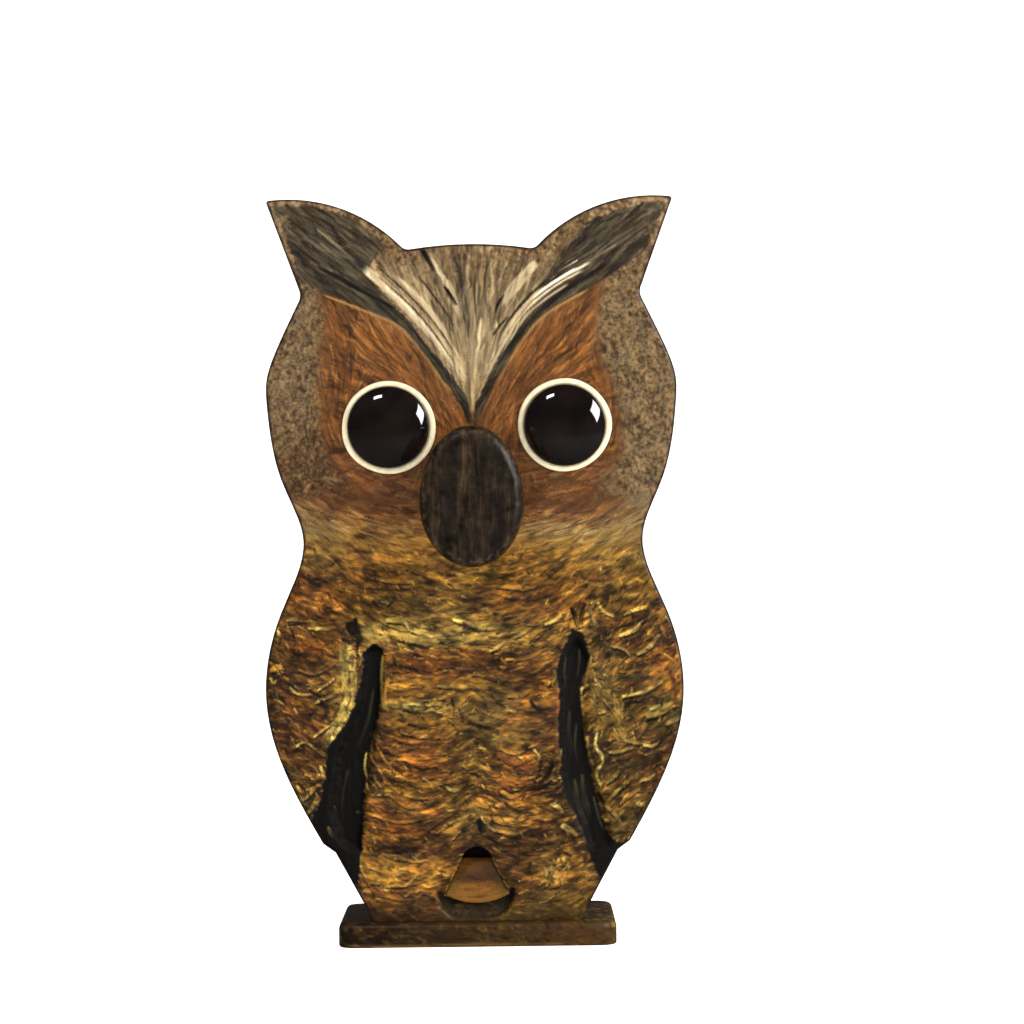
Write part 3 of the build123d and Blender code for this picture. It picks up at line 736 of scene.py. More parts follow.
bodyLines = {
    "chest": [
        ("greige", 2.2, [(-16, 63.2), (-9, 61.8), (-2, 62.4), (6, 61.6)]),
        ("cream", 1.3, [(-13.5, 64.6), (-7.0, 62.9), (-1.0, 62.6)]),
        ("cream", 1.0, [(-4.5, 66.4), (1.5, 64.6), (7.0, 64.9)]),
        ("greige", 1.2, [(-18.0, 66.4), (-13.0, 66.2), (-7.5, 67.4)]),
        ("cream", 0.8, [(14.3, 65.0), (16.8, 66.2), (18.6, 68.2)]),
        ("cream", 0.8, [(3.0, 59.8), (5.0, 60.7), (6.7, 61.9)]),
        ("greige", 0.8, [(8.0, 62.4), (11.5, 64.4), (15.0, 66.6)]),
        ("tan", 0.7, [(-19.6, 57.4), (-17.6, 55.6), (-15.6, 54.8)]),
        ("darkUmber", 0.8, [(-17.0, 57.4), (-9.5, 56.0), (-2.0, 57.0), (4.0, 55.4)]),
        ("rust", 1.6, [(-14.0, 58.4), (-6.5, 57.2), (0.5, 58.4)]),
        ("darkUmber", 0.6, [(2.0, 54.0), (8.5, 53.3), (15.0, 55.6)]),
        ("gold", 0.8, [(6.0, 58.0), (11.0, 58.6), (15.6, 61.2)]),
        ("olive", 1.2, [(-18.0, 71.6), (-10.5, 70.4), (-2.0, 71.2)]),
        ("gold", 0.8, [(-21.0, 75.0), (-14.0, 74.0), (-8.0, 74.8)]),
        ("tan", 0.8, [(4.0, 73.0), (11.0, 72.6), (18.0, 74.6)]),
        ("darkUmber", 0.5, [(-22.0, 72.8), (-15.0, 72.4), (-9.0, 73.2)]),
        ("darkUmber", 0.5, [(6.0, 70.4), (12.0, 70.0), (19.0, 72.4)]),
    ],
    "belly": [
        ("cream", 1.9, [(-14.8, 48.9), (-10.4, 48.4), (-5.6, 48.7)]),
        ("bone", 0.6, [(-13.8, 49.4), (-10.0, 49.0), (-6.2, 49.3)]),
        ("ochre", 1.8, [(-14.0, 46.2), (-10.0, 45.3), (-6.0, 46.0)]),
        ("tan", 0.8, [(-15.5, 43.6), (-10.5, 42.6), (-5.4, 43.6)]),
        ("darkUmber", 0.7, [(-16.0, 41.4), (-11.5, 40.8), (-6.4, 41.2)]),
        ("greige", 0.8, [(-7.8, 52.9), (-2.0, 52.4), (4.0, 52.6)]),
        ("darkUmber", 0.7, [(-4.8, 50.6), (-4.2, 48.0), (-4.6, 45.6)]),
        ("darkUmber", 0.5, [(-3.4, 48.4), (-2.4, 46.2), (-2.8, 44.0)]),
        ("greige", 0.5, [(-5.8, 46.4), (-3.8, 44.2), (-4.2, 42.2)]),
        ("orange", 1.6, [(-15.0, 38.6), (-11.0, 37.0), (-7.4, 37.6)]),
        ("rust", 1.4, [(-14.6, 36.0), (-10.6, 34.6), (-6.6, 35.6)]),
        ("orange", 1.8, [(4.2, 38.9), (8.2, 37.4), (12.0, 38.8)]),
        ("gold", 0.7, [(4.6, 40.2), (8.0, 39.0), (11.8, 40.6)]),
        ("orange", 1.7, [(4.6, 33.4), (7.6, 32.2), (10.8, 33.8)]),
        ("gold", 1.0, [(5.0, 31.4), (7.4, 30.2), (10.4, 31.8)]),
        ("cream", 0.6, [(11.8, 39.8), (12.9, 38.2), (12.4, 36.4)]),
        ("black", 0.8, [(13.6, 37.6), (12.4, 34.0), (10.6, 31.2)]),
        ("darkUmber", 1.1, [(15.6, 38.0), (14.6, 34.4), (11.6, 31.2)]),
        ("black", 0.7, [(4.4, 31.6), (6.4, 28.4), (9.0, 27.2), (12.0, 27.0)]),
        ("gold", 0.7, [(-22.0, 39.8), (-19.9, 36.3), (-16.4, 31.9), (-10.7, 30.0), (-5.0, 31.6)]),
        ("tan", 0.6, [(-21.6, 36.0), (-18.6, 31.6), (-13.6, 28.2), (-7.4, 28.6)]),
        ("gold", 0.6, [(-20.4, 41.4), (-17.6, 36.8), (-13.6, 33.6), (-8.6, 33.4)]),
        ("olive", 0.9, [(-21.0, 33.4), (-16.6, 28.6), (-10.4, 26.4), (-4.0, 28.6)]),
        ("cream", 0.7, [(-6.4, 32.6), (-4.6, 31.6), (-2.4, 32.4)]),
        ("cream", 0.5, [(-22.6, 34.0), (-21.8, 31.6), (-20.6, 29.8)]),
        ("black", 1.1, [(11.2, 49.8), (12.4, 48.2), (14.4, 47.8), (17.6, 48.8)]),
        ("gold", 0.8, [(15.4, 53.6), (14.2, 51.6), (15.4, 50.0)]),
        ("cream", 0.5, [(16.6, 54.6), (15.8, 52.8), (16.4, 51.6)]),
        ("taupe", 2.2, [(-1.6, 46.6), (2.4, 45.4), (7.0, 47.0)]),
        ("olive", 1.4, [(-3.0, 39.6), (0.6, 38.4), (3.4, 39.8)]),
        ("greige", 0.5, [(-2.8, 36.8), (-0.6, 35.2), (1.4, 36.4)]),
        ("tan", 0.9, [(6.4, 50.6), (9.6, 51.0), (12.4, 52.4)]),
        ("darkUmber", 0.5, [(-19.0, 44.0), (-15.4, 42.6), (-12.0, 42.8)]),
    ],
    "legs": [
        ("tan", 0.5, [(-8.6, 22.6), (-5.4, 24.9), (-2.6, 26.2)]),
        ("tan", 0.4, [(-5.4, 21.2), (-3.2, 23.4), (-1.4, 24.8)]),
        ("darkUmber", 0.7, [(-10.0, 23.0), (-5.4, 26.2), (-1.6, 28.2)]),
        ("cream", 0.6, [(0.9, 26.4), (2.9, 24.0), (6.4, 22.4), (9.6, 22.2)]),
        ("gold", 1.6, [(2.6, 26.2), (6.6, 25.2), (11.6, 26.6)]),
        ("tan", 1.0, [(3.6, 23.6), (8.2, 22.8), (13.0, 24.8)]),
        ("darkUmber", 0.7, [(1.6, 22.4), (6.0, 20.2), (11.6, 20.6)]),
        ("cream", 1.7, [(17.2, 24.4), (18.8, 23.2), (20.6, 21.4)]),
        ("bone", 0.8, [(14.8, 28.8), (16.8, 27.8), (17.6, 26.4)]),
        ("gold", 1.3, [(17.6, 19.6), (19.6, 18.4), (20.6, 16.2)]),
        ("cream", 0.9, [(-24.0, 21.4), (-24.2, 18.6), (-23.4, 15.0), (-21.6, 11.2)]),
        ("bone", 1.2, [(-24.6, 22.0), (-24.0, 20.6)]),
        ("gold", 1.0, [(-22.4, 16.4), (-17.0, 15.0), (-11.0, 15.6)]),
        ("tan", 0.8, [(-22.0, 13.2), (-16.0, 12.4), (-9.6, 13.8), (-6.6, 15.6)]),
        ("gold", 0.6, [(-17.0, 18.0), (-12.0, 17.4), (-7.6, 18.6)]),
        ("darkUmber", 1.5, [(-22.6, 20.2), (-17.0, 19.6), (-11.0, 20.0)]),
        ("darkUmber", 0.6, [(-21.0, 24.2), (-16.0, 23.2), (-10.4, 24.0)]),
        ("gold", 0.7, [(-21.6, 27.0), (-16.0, 25.4), (-10.0, 26.0)]),
        ("rust", 1.3, [(-20.6, 25.4), (-15.0, 24.4), (-10.0, 25.0)]),
        ("olive", 1.2, [(-20.0, 8.6), (-14.0, 7.8), (-9.0, 8.6)]),
        ("tan", 0.6, [(-19.6, 10.4), (-15.0, 9.6), (-10.6, 10.2)]),
        ("darkUmber", 0.5, [(11.0, 9.4), (15.0, 8.6), (19.6, 9.8)]),
    ],
    "leftWing": [
        ("cream", 0.8, [(-33.8, 65.0), (-30.8, 64.8), (-27.4, 65.0)]),
        ("greige", 0.7, [(-38.2, 66.4), (-37.0, 66.8), (-35.6, 66.6)]),
        ("black", 0.8, [(-38.6, 65.2), (-37.0, 65.6), (-34.6, 65.8), (-32.0, 65.9)]),
        ("cream", 0.6, [(-39.8, 65.2), (-39.6, 63.2), (-39.8, 61.6)]),
        ("darkUmber", 0.6, [(-37.0, 64.6), (-36.4, 62.0), (-36.6, 60.0)]),
        ("cream", 0.6, [(-37.6, 53.1), (-36.6, 51.9), (-34.6, 51.4), (-32.2, 51.8)]),
        ("cream", 0.6, [(-32.0, 52.2), (-29.8, 53.6), (-27.4, 55.6)]),
        ("tan", 0.5, [(-36.0, 56.6), (-33.0, 55.6), (-30.0, 56.6), (-27.4, 58.4)]),
        ("cream", 0.7, [(-32.6, 49.6), (-30.4, 50.6), (-27.8, 51.4)]),
        ("cream", 0.6, [(-32.8, 42.8), (-31.0, 44.2), (-29.2, 45.4)]),
        ("cream", 0.6, [(-36.8, 40.6), (-34.8, 41.8), (-32.4, 40.4), (-29.8, 38.3)]),
        ("greige", 0.5, [(-37.4, 43.0), (-36.8, 41.2), (-37.2, 40.2)]),
        ("tan", 0.5, [(-33.4, 37.4), (-32.0, 35.4), (-32.6, 33.4)]),
        ("greige", 1.0, [(-36.6, 29.4), (-34.2, 31.0), (-31.4, 33.8)]),
        ("greige", 0.8, [(-35.4, 26.6), (-33.2, 28.4), (-32.0, 31.4)]),
        ("cream", 0.6, [(-31.6, 37.0), (-30.9, 35.0), (-30.2, 33.4)]),
        ("darkUmber", 0.8, [(-36.0, 33.6), (-34.6, 31.6), (-35.4, 29.8)]),
        ("darkUmber", 0.9, [(-40.6, 54.6), (-38.4, 55.8), (-36.4, 54.0), (-34.4, 53.2)]),
        ("gold", 1.5, [(-41.4, 56.4), (-40.0, 57.0), (-38.4, 56.4)]),
        ("cream", 0.7, [(-41.6, 55.0), (-40.8, 53.8), (-39.8, 54.6)]),
        ("rust", 2.2, [(-38.6, 50.2), (-35.6, 47.6), (-33.4, 45.0)]),
        ("rust", 1.8, [(-36.4, 61.4), (-33.0, 60.4), (-29.4, 61.2)]),
        ("darkUmber", 1.0, [(-31.4, 50.4), (-30.0, 48.0), (-31.6, 45.8)]),
        ("darkUmber", 0.7, [(-33.8, 52.2), (-30.6, 51.0), (-28.2, 52.8)]),
        ("cream", 0.7, [(-23.4, 60.4), (-22.9, 58.6), (-23.4, 56.8)]),
        ("greige", 0.6, [(-24.0, 55.4), (-24.2, 52.0), (-24.6, 48.6)]),
        ("darkUmber", 0.7, [(-27.4, 49.8), (-28.4, 46.6), (-30.2, 44.8)]),
        ("cream", 0.5, [(-24.9, 21.4), (-24.3, 21.1)]),
        ("taupe", 0.9, [(-30.6, 25.2), (-29.4, 23.4), (-28.8, 21.6)]),
        ("greige", 0.5, [(-29.2, 27.0), (-28.0, 24.4)]),
    ],
    "rightWing": [
        ("cream", 0.7, [(25.1, 69.6), (26.4, 67.6), (28.8, 66.5)]),
        ("cream", 0.7, [(30.4, 66.8), (32.6, 67.8), (35.2, 68.5)]),
        ("cream", 0.9, [(29.3, 62.6), (32.4, 63.7), (34.9, 66.1)]),
        ("cream", 0.9, [(32.8, 58.7), (35.6, 60.3), (38.0, 63.2)]),
        ("cream", 0.9, [(29.6, 50.2), (34.6, 51.4), (39.5, 54.4)]),
        ("greige", 2.1, [(34.5, 46.3), (37.6, 47.3), (41.0, 49.2)]),
        ("bone", 0.7, [(35.4, 47.6), (37.8, 48.4)]),
        ("greige", 1.2, [(38.6, 44.4), (40.4, 45.4), (42.0, 46.2)]),
        ("darkUmber", 0.8, [(30.0, 48.8), (34.4, 49.6), (39.6, 52.2)]),
        ("darkUmber", 0.8, [(30.6, 61.4), (33.4, 62.4), (35.6, 64.2)]),
        ("darkUmber", 0.9, [(29.6, 64.4), (32.8, 65.4), (36.0, 67.2)]),
        ("umber", 1.8, [(31.4, 56.4), (34.6, 56.8), (38.2, 58.8)]),
        ("moss", 1.4, [(29.2, 54.4), (32.6, 54.4), (36.0, 56.2)]),
        ("cream", 0.7, [(23.5, 52.9), (22.0, 52.1), (21.6, 50.6), (22.1, 48.2)]),
        ("cream", 0.6, [(22.6, 42.4), (23.0, 38.6), (24.2, 35.6)]),
        ("bone", 0.7, [(24.8, 43.4), (24.4, 40.3), (25.9, 37.6), (24.5, 34.8), (25.9, 30.6)]),
        ("greige", 0.9, [(26.9, 39.0), (29.8, 39.2), (32.4, 40.3)]),
        ("greige", 0.8, [(30.0, 41.4), (33.2, 40.8), (35.6, 41.2), (37.2, 42.2)]),
        ("cream", 0.7, [(34.0, 40.4), (36.0, 40.2), (37.6, 41.6)]),
        ("greige", 0.9, [(27.4, 30.0), (30.0, 32.2), (32.4, 34.6)]),
        ("cream", 0.6, [(33.2, 33.0), (35.0, 33.6), (36.6, 34.8)]),
        ("tan", 0.9, [(28.6, 28.2), (31.4, 30.4), (34.2, 32.6)]),
        ("greige", 0.8, [(26.4, 32.6), (28.6, 34.6), (29.6, 36.8)]),
        ("cream", 1.3, [(32.6, 29.0), (33.8, 28.0)]),
        ("cream", 1.2, [(26.0, 25.4), (26.6, 24.4)]),
        ("greige", 0.9, [(26.4, 28.0), (28.4, 26.0), (29.8, 23.8)]),
        ("taupe", 0.9, [(23.4, 68.4), (24.0, 65.0), (24.6, 62.4)]),
        ("greige", 0.8, [(24.0, 66.8), (25.0, 64.0), (25.0, 62.0)]),
        ("olive", 1.2, [(25.8, 61.6), (28.0, 58.4), (28.8, 55.4)]),
        ("tan", 0.7, [(38.0, 64.6), (39.4, 61.6)]),
        ("greige", 0.6, [(27.6, 60.6), (30.4, 59.8), (32.0, 58.0)]),
        ("moss", 1.4, [(29.8, 36.4), (33.4, 37.0), (36.8, 38.8)]),
        ("sienna", 1.1, [(39.6, 56.4), (40.6, 52.0), (40.4, 47.6)]),
        ("darkUmber", 0.7, [(23.6, 50.8), (24.8, 47.4), (25.8, 44.6)]),
        ("slate", 0.9, [(25.0, 56.8), (26.2, 54.4), (27.2, 52.0)]),
    ],
    "blackMarks": [
        ("black", 2.4, [(-25.4, 66.2), (-24.2, 63.6), (-22.8, 61.4)]),
        ("black", 1.6, [(0.4, 25.9), (1.1, 24.2), (1.4, 22.4)]),
        ("black", 1.1, [(-24.2, 67.0), (-23.6, 64.6), (-22.2, 62.2)]),
        ("charcoal", 0.8, [(-26.8, 64.8), (-25.8, 63.0), (-25.2, 61.4)]),
        ("black", 0.9, [(-27.0, 62.6), (-25.2, 62.0), (-23.2, 62.2)]),
        ("black", 0.8, [(-23.6, 62.0), (-23.9, 60.0), (-23.6, 58.4)]),
        ("darkUmber", 0.8, [(-20.6, 70.4), (-19.2, 68.8), (-17.6, 67.8)]),
        ("charcoal", 0.8, [(-19.2, 71.4), (-17.4, 70.0), (-15.4, 69.2)]),
        ("black", 0.6, [(-17.6, 68.8), (-16.4, 70.2), (-15.8, 72.0)]),
        ("black", 1.0, [(19.8, 68.6), (20.6, 66.4), (21.2, 63.8)]),
        ("darkUmber", 1.2, [(22.6, 69.4), (22.0, 67.2), (21.8, 64.6)]),
        ("darkUmber", 0.9, [(16.8, 60.6), (18.0, 59.0), (18.4, 56.8)]),
        ("black", 0.8, [(15.6, 33.4), (13.6, 32.0), (11.4, 31.6)]),
        ("black", 1.1, [(15.9, 36.8), (14.4, 34.2), (13.2, 32.2)]),
        ("darkUmber", 0.7, [(-30.6, 41.4), (-31.8, 40.4), (-33.4, 40.8)]),
        ("darkUmber", 0.8, [(-31.0, 34.0), (-32.8, 33.6), (-34.4, 32.2)]),
        ("black", 0.7, [(-20.4, 50.6), (-19.0, 49.6), (-18.2, 47.8)]),
        ("black", 0.7, [(-22.4, 36.8), (-21.2, 35.4), (-20.8, 33.6)]),
        ("darkUmber", 0.7, [(-21.6, 43.6), (-20.6, 41.8), (-20.6, 39.6)]),
        ("black", 0.7, [(24.6, 31.0), (25.8, 28.6), (26.2, 26.6)]),
    ],
    "grooveLines": [
        ("slate", 0.5, [(18.6, 58.6), (18.3, 54.8), (18.8, 51.4)]),
        ("slate", 0.5, [(21.4, 60.0), (21.2, 56.4), (20.6, 53.4)]),
        ("charcoal", 0.9, [(19.2, 47.6), (19.0, 42.4), (19.8, 37.0)]),
        ("slate", 0.45, [(20.6, 45.0), (20.2, 40.0), (21.0, 35.6)]),
        ("moss", 1.2, [(21.6, 34.6), (22.0, 29.6), (23.4, 24.6)]),
        ("moss", 1.1, [(20.0, 33.6), (20.8, 28.6), (22.6, 23.4)]),
        ("slate", 0.6, [(23.8, 30.0), (24.8, 26.0), (26.0, 22.6)]),
        ("greige", 0.5, [(17.4, 39.8), (17.2, 37.2), (16.4, 34.6)]),
        ("charcoal", 0.7, [(-20.6, 52.4), (-21.8, 46.2), (-24.0, 40.0)]),
        ("charcoal", 0.6, [(-26.0, 36.0), (-27.2, 30.4), (-27.4, 25.0)]),
        ("slate", 0.7, [(-24.3, 27.6), (-23.6, 26.8)]),
        ("slate", 0.6, [(-29.0, 28.8), (-28.2, 26.8)]),
        ("taupe", 0.8, [(-30.2, 24.6), (-29.0, 22.4), (-28.2, 21.6)]),
    ],
    "grooveLips": [
        ("greige", 0.7, [(-18.6, 59.4), (-18.9, 55.0), (-18.8, 50.6), (-18.2, 47.6)]),
        ("gold", 0.5, [(-17.9, 54.4), (-18.2, 50.4), (-17.4, 47.0)]),
        ("cream", 0.5, [(-22.2, 39.6), (-22.6, 36.4), (-22.0, 33.6)]),
        ("gold", 0.6, [(-20.8, 62.6), (-19.4, 62.0), (-18.0, 61.0)]),
        ("olive", 0.9, [(16.0, 56.0), (16.4, 52.4), (15.6, 50.6)]),
        ("greige", 0.6, [(23.8, 58.6), (22.9, 54.8), (22.4, 52.0)]),
    ],
}

for name, thick, dry, shade in (
    ("chest", 0.2, 0.9, 0.9), ("belly", 0.2, 0.9, 0.8), ("legs", 0.2, 0.8, 0.8),
    ("leftWing", 0.22, 0.65, 0.6), ("rightWing", 0.22, 0.65, 0.6),
):
    ribbons(bodyLines[name], thick, dry, None, shade)
bristled(bodyArea, gridX, gridZ - sagging, 0.45, "gold", "darkUmber", 0.2, 0.9)


def restless(x, z):
    # as the rows run, but less steadily
    return rowAngle(x, z) + rng.normal(0, 0.45)


# pale plumes beside the grooves: a greenish band on the left, a fan on the right
plumes = {
    "left": [
        (-27.2, 61.2), (-24.9, 61.6), (-23.7, 56.0), (-24.0, 50.5), (-27.0, 44.5), (-30.6, 40.0),
        (-31.4, 41.6),
        (-28.6, 46.5), (-26.9, 52.0), (-27.4, 57.0),
    ],
    "right": [(23.2, 55.6), (25.6, 55.2), (30.0, 48.6), (32.6, 41.4), (29.6, 40.4), (25.8, 45.2),
              (23.2, 50.2)],
    "leftLean": (-128, -92),  # degrees, low down and high up
    "rightLean": -58,
}
leftPlume = polygonArea(plumes["left"], 0.35)
rightPlume = polygonArea(plumes["right"], 0.6)


def downLeft(x, z):
    low, high = plumes["leftLean"]
    return math.radians(mix(low, high, float(smooth(44, 54, z)))) + rng.normal(0, 0.14)


def downRight(x, z):
    return math.radians(plumes["rightLean"]) + rng.normal(0, 0.2)


brushOver(leftPlume, 80, downLeft, 4.2, 0.9, tinted(["greige", "taupe", "cream"], 0.75, 0.08), 0.18, 0.6)
brushOver(leftPlume, 110, downLeft, 2.8, 0.36, tinted(["cream", "bone", "slate"], 0.7, 0.08),
          0.2, 0.7, 0.0, False)
brushOver(rightPlume, 40, downRight, 4.0, 0.7, tinted(["taupe", "slate", "greige"], 0.55, 0.08), 0.14, 0.7)
brushOver(rightPlume, 75, downRight, 3.2, 0.28, tinted(["cream", "greige", "tan"], 0.75, 0.08),
          0.2, 0.7, 0.02, False)
# dabs that catch the light, thick on the feet, and dark gaps between them
rightFoot = polygonArea(body["rightFoot"], 0.5)
leftFoot = polygonArea(body["leftFoot"], 0.8)
dabs = tinted(["cream", "gold", "tan"], 0.85, 0.1)
brushOver(bodyArea, 1700, restless, 1.7, 0.3, tinted(["black", "darkUmber"], 0.75, 0.1), 0.02, 0.5, sag)
brushOver(bodyArea, 1500, restless, 1.9, 0.27, dabs, 0.16, 0.7, sag)
brushOver(leftFoot, 90, restless, 1.8, 0.32, dabs, 0.2, 0.6, sag)
brushOver(rightFoot, 75, lambda x, z: rng.uniform(0, math.pi), 1.6, 0.42, dabs, 0.25, 0.5, sag)
patches = coarseNoise((160, 42), gridX.shape, -1, 1) * 0.6
patches = patches + coarseNoise((330, 100), gridX.shape, -1, 1) * 0.4
patches += coarseNoise((36, 18), gridX.shape, -0.45, 0.35)
colours *= 1 + (0.42 * patches * bodyArea)[..., None]

grooves = np.zeros_like(relief)
cutNoise = 0.6 * coarseNoise((260, 120), gridX.shape, -0.5, 0.5)
cutNoise = cutNoise + 0.7 * coarseNoise((80, 36), gridX.shape, -0.5, 0.5)
for name in ("leftGroove", "rightGroove"):
    area = polygonArea(body[name], groove["edge"])
    grooves = np.maximum(grooves, smooth(0.05, 0.95, area + 0.25 * cutNoise * smooth(0.02, 0.3, area)))
blacks = np.zeros_like(relief)
for name in ("leftBlack", "rightBlack"):
    area = polygonArea(body[name], 0.6)
    nearEdge = smooth(0.0, 0.15, area) * smooth(1.0, 0.8, area)
    blacks = np.maximum(blacks, smooth(0.35, 0.6, area + 0.6 * cutNoise * nearEdge))
blackPaint = mix(paints["black"] * 1.25, paints["charcoal"] * 0.8, smooth(12, 16, gridX)[..., None] * 0.55)
colours[:] = mix(colours, blackPaint, (blacks * 0.97)[..., None])
relief *= 1 - 0.6 * blacks
brushOver(blacks, 420, lambda x, z: math.pi / 2 + (0.12 if x < 0 else -0.05), 6.0, 0.6,
          tinted(["black", "darkUmber"], 0.5), 0.1, 0.5)
colours *= 1 - (0.55 * blacks)[..., None]
ribbons(bodyLines["grooveLines"], 0.12, 0.9)
ribbons(bodyLines["blackMarks"], 0.08, 0.75)
ribbons(bodyLines["grooveLips"], 0.25, 0.6)

# the hollow under the tail: dark paint that is partly a painted shadow cast by the tail, with a grey-green
# patch and speckled rims; a black arch over it, painted as the shadow in the gap above the tail
hollow = {
    "outline": [
        (-8.2, 11.4), (-6.0, 10.2), (0.0, 9.7), (5.4, 10.4), (7.9, 12.2), (7.2, 9.0), (5.0, 6.2),
        (0.5, 5.0),
        (-4.6, 5.4), (-7.4, 8.0),
    ],
    "greenPatch": [(-6.4, 8.6), (-1.0, 8.4), (0.6, 6.6), (-3.0, 5.6), (-6.0, 6.6)],
    "arch": [(-2.7, 17.6), (-2.4, 19.0), (0.2, 20.3), (2.8, 19.0), (3.1, 17.6)],
    "depth": 1.5,
}
hollowArea = polygonArea(hollow["outline"], 0.45)
# black and dark umber here stand partly for the shadow under the tail's lower edge
underpaint(smooth(0.3, 0.6, hollowArea + 0.3 * cutNoise), [
    (0, 9.5, 6, 1.4, paints["black"] * 0.7), (5, 8, 3, 2, paints["darkUmber"] * 0.5),
    (-3.2, 6.8, 2.8, 1.3, paints["slate"] * 0.75), (3, 5.8, 3, 1, "darkUmber"),
    (-6.8, 9.5, 1.2, 1.5, "charcoal"),
])
brushOver(hollowArea, 150, restless, 2.4, 0.4, tinted(["black", "charcoal", "darkUmber"], 0.6), 0.1, 0.6)
greenPatch = polygonArea(hollow["greenPatch"], 0.3)
brushOver(greenPatch, 45, restless, 1.5, 0.36, tinted(["slate", "taupe", "moss"], 0.6), 0.1, 0.6)
ribbons([
    ("slate", 0.7, [(-5.6, 7.4), (-3.4, 6.7), (-1.2, 6.9)]),
    ("taupe", 0.35, [(-4.8, 8.2), (-3.0, 7.7), (-1.4, 7.9)]),
    ("tan", 0.3, [(-8.3, 10.2), (-7.5, 8.6), (-6.6, 7.4)]),
    ("greige", 0.3, [(-6.4, 6.6), (-5.2, 5.8), (-4.0, 5.5)]),
    ("black", 0.6, [(1.4, 8.8), (4.4, 9.2), (6.8, 10.8)]),
], 0.12, 0.9)
hollowRim = blurred(hollowArea, 6) * (1 - hollowArea)
brushOver(smooth(0.15, 0.3, hollowRim), 90, restless, 1.4, 0.3, tinted(["tan", "black", "slate"], 0.7),
          0.1, 0.7)

# the arch, painted black as the shadow in the gap above the tail, and a dark line round the whole board's
# edge
arch = polygonArea(hollow["arch"], 0.2)
colours[:] = mix(colours, paints["black"], (smooth(0.3, 0.6, arch) * 0.98)[..., None])
edgeWidth = coarseNoise((120, 70), gridX.shape, 0.35, 1.0)
edgeDark = smooth(1.0, 0.2, edgeDistance / edgeWidth) * smooth(6.0, 8.0, gridZ)
colours[:] = mix(colours, paints["darkUmber"] * 0.8, (edgeDark * 0.85)[..., None])
ribbons([
    ("tan", 0.5, [(-42.0, 62.0), (-42.3, 55.0), (-41.7, 48.0)]),
    ("taupe", 0.5, [(41.2, 60.0), (42.0, 54.0), (41.6, 47.4)]),
], 0.05, 1.0)
# the foot darkens into the base
foot = smooth(10.0, 5.5, gridZ + coarseNoise((60, 30), gridX.shape, -1.5, 1.5))
footShade = mix(paints["darkUmber"] * 0.9, paints["olive"] * 0.75, smooth(-16, 4, gridX)[..., None])
colours[:] = mix(colours, footShade, (0.62 * foot)[..., None])
brushOver(foot, 240, restless, 2.2, 0.34, tinted(["tan", "black", "ochre"], 0.5), 0.1, 0.7)
# a warm varnish over the body, and a thinner grey one over the head
varnishes = {"body": (0.91, 0.85, 0.50), "head": (0.86, 0.84, 0.80), "deepens": 0.13}
belowNeck = smooth(90, 77, gridZ)
paleHead = np.maximum(forehead, sides * (1 - faceArea)) * (1 - browArea) * (1 - belowNeck)
varnish = mix(np.ones_like(colours), np.array(varnishes["body"], np.float32), belowNeck[..., None])
varnish = mix(varnish, np.array(varnishes["head"], np.float32), paleHead[..., None])
deeper = 1 + varnishes["deepens"] * (1 - browArea[..., None])
colours = np.clip(colours, 0, 1) ** deeper * varnish
print("painting done")

# the meshes: each flat wooden piece is a dense painted front, rounded edges, sides and a back


def linear(colour):
    # display colour to the light that it stands for
    return np.where(colour < 0.04045, colour / 12.92, ((np.clip(colour, 0, 1) + 0.055) / 1.055) ** 2.4)


def triangles(points, loops):
    # triangles over the points inside the outer loop; loops hold the indices of closed loops
    edges = [(int(a), int(b)) for loop in loops for a, b in zip(loop, np.roll(loop, -1))]
    found = delaunay_2d_cdt([Vector(p) for p in points], edges, [], 1, 1e-6)
    first = [source[0] if source else -1 for source in found[3]]
    return np.array([[first[v] for v in face] for face in found[2]])


def hexGrid(low, high, step):
    # points at the corners of equal triangles, over a box
    rows = np.arange(low[1], high[1], step * 0.866)
    columns = np.arange(low[0], high[0], step)
    u, v = np.meshgrid(columns, rows)
    u = u + (np.arange(len(rows)) % 2)[:, None] * step / 2
    return np.c_[u.ravel(), v.ravel()]


def easeAtCorners(loop, step):
    # 1 along the smooth stretches of a loop and nearly 0 at its sharp corners
    reach = max(2, int(1.2 / step))
    ahead, behind = np.roll(loop, -reach, axis=0) - loop, loop - np.roll(loop, reach, axis=0)
    cross = behind[:, 0] * ahead[:, 1] - behind[:, 1] * ahead[:, 0]
    turn = np.abs(np.arctan2(cross, (ahead * behind).sum(1)))
    keenest = np.max([np.roll(turn, k) for k in range(-reach, reach + 1)], axis=0)
    ease = 1 - 0.92 * smooth(0.5, 1.0, keenest)
    return np.mean([np.roll(ease, k) for k in range(-reach, reach + 1)], axis=0)


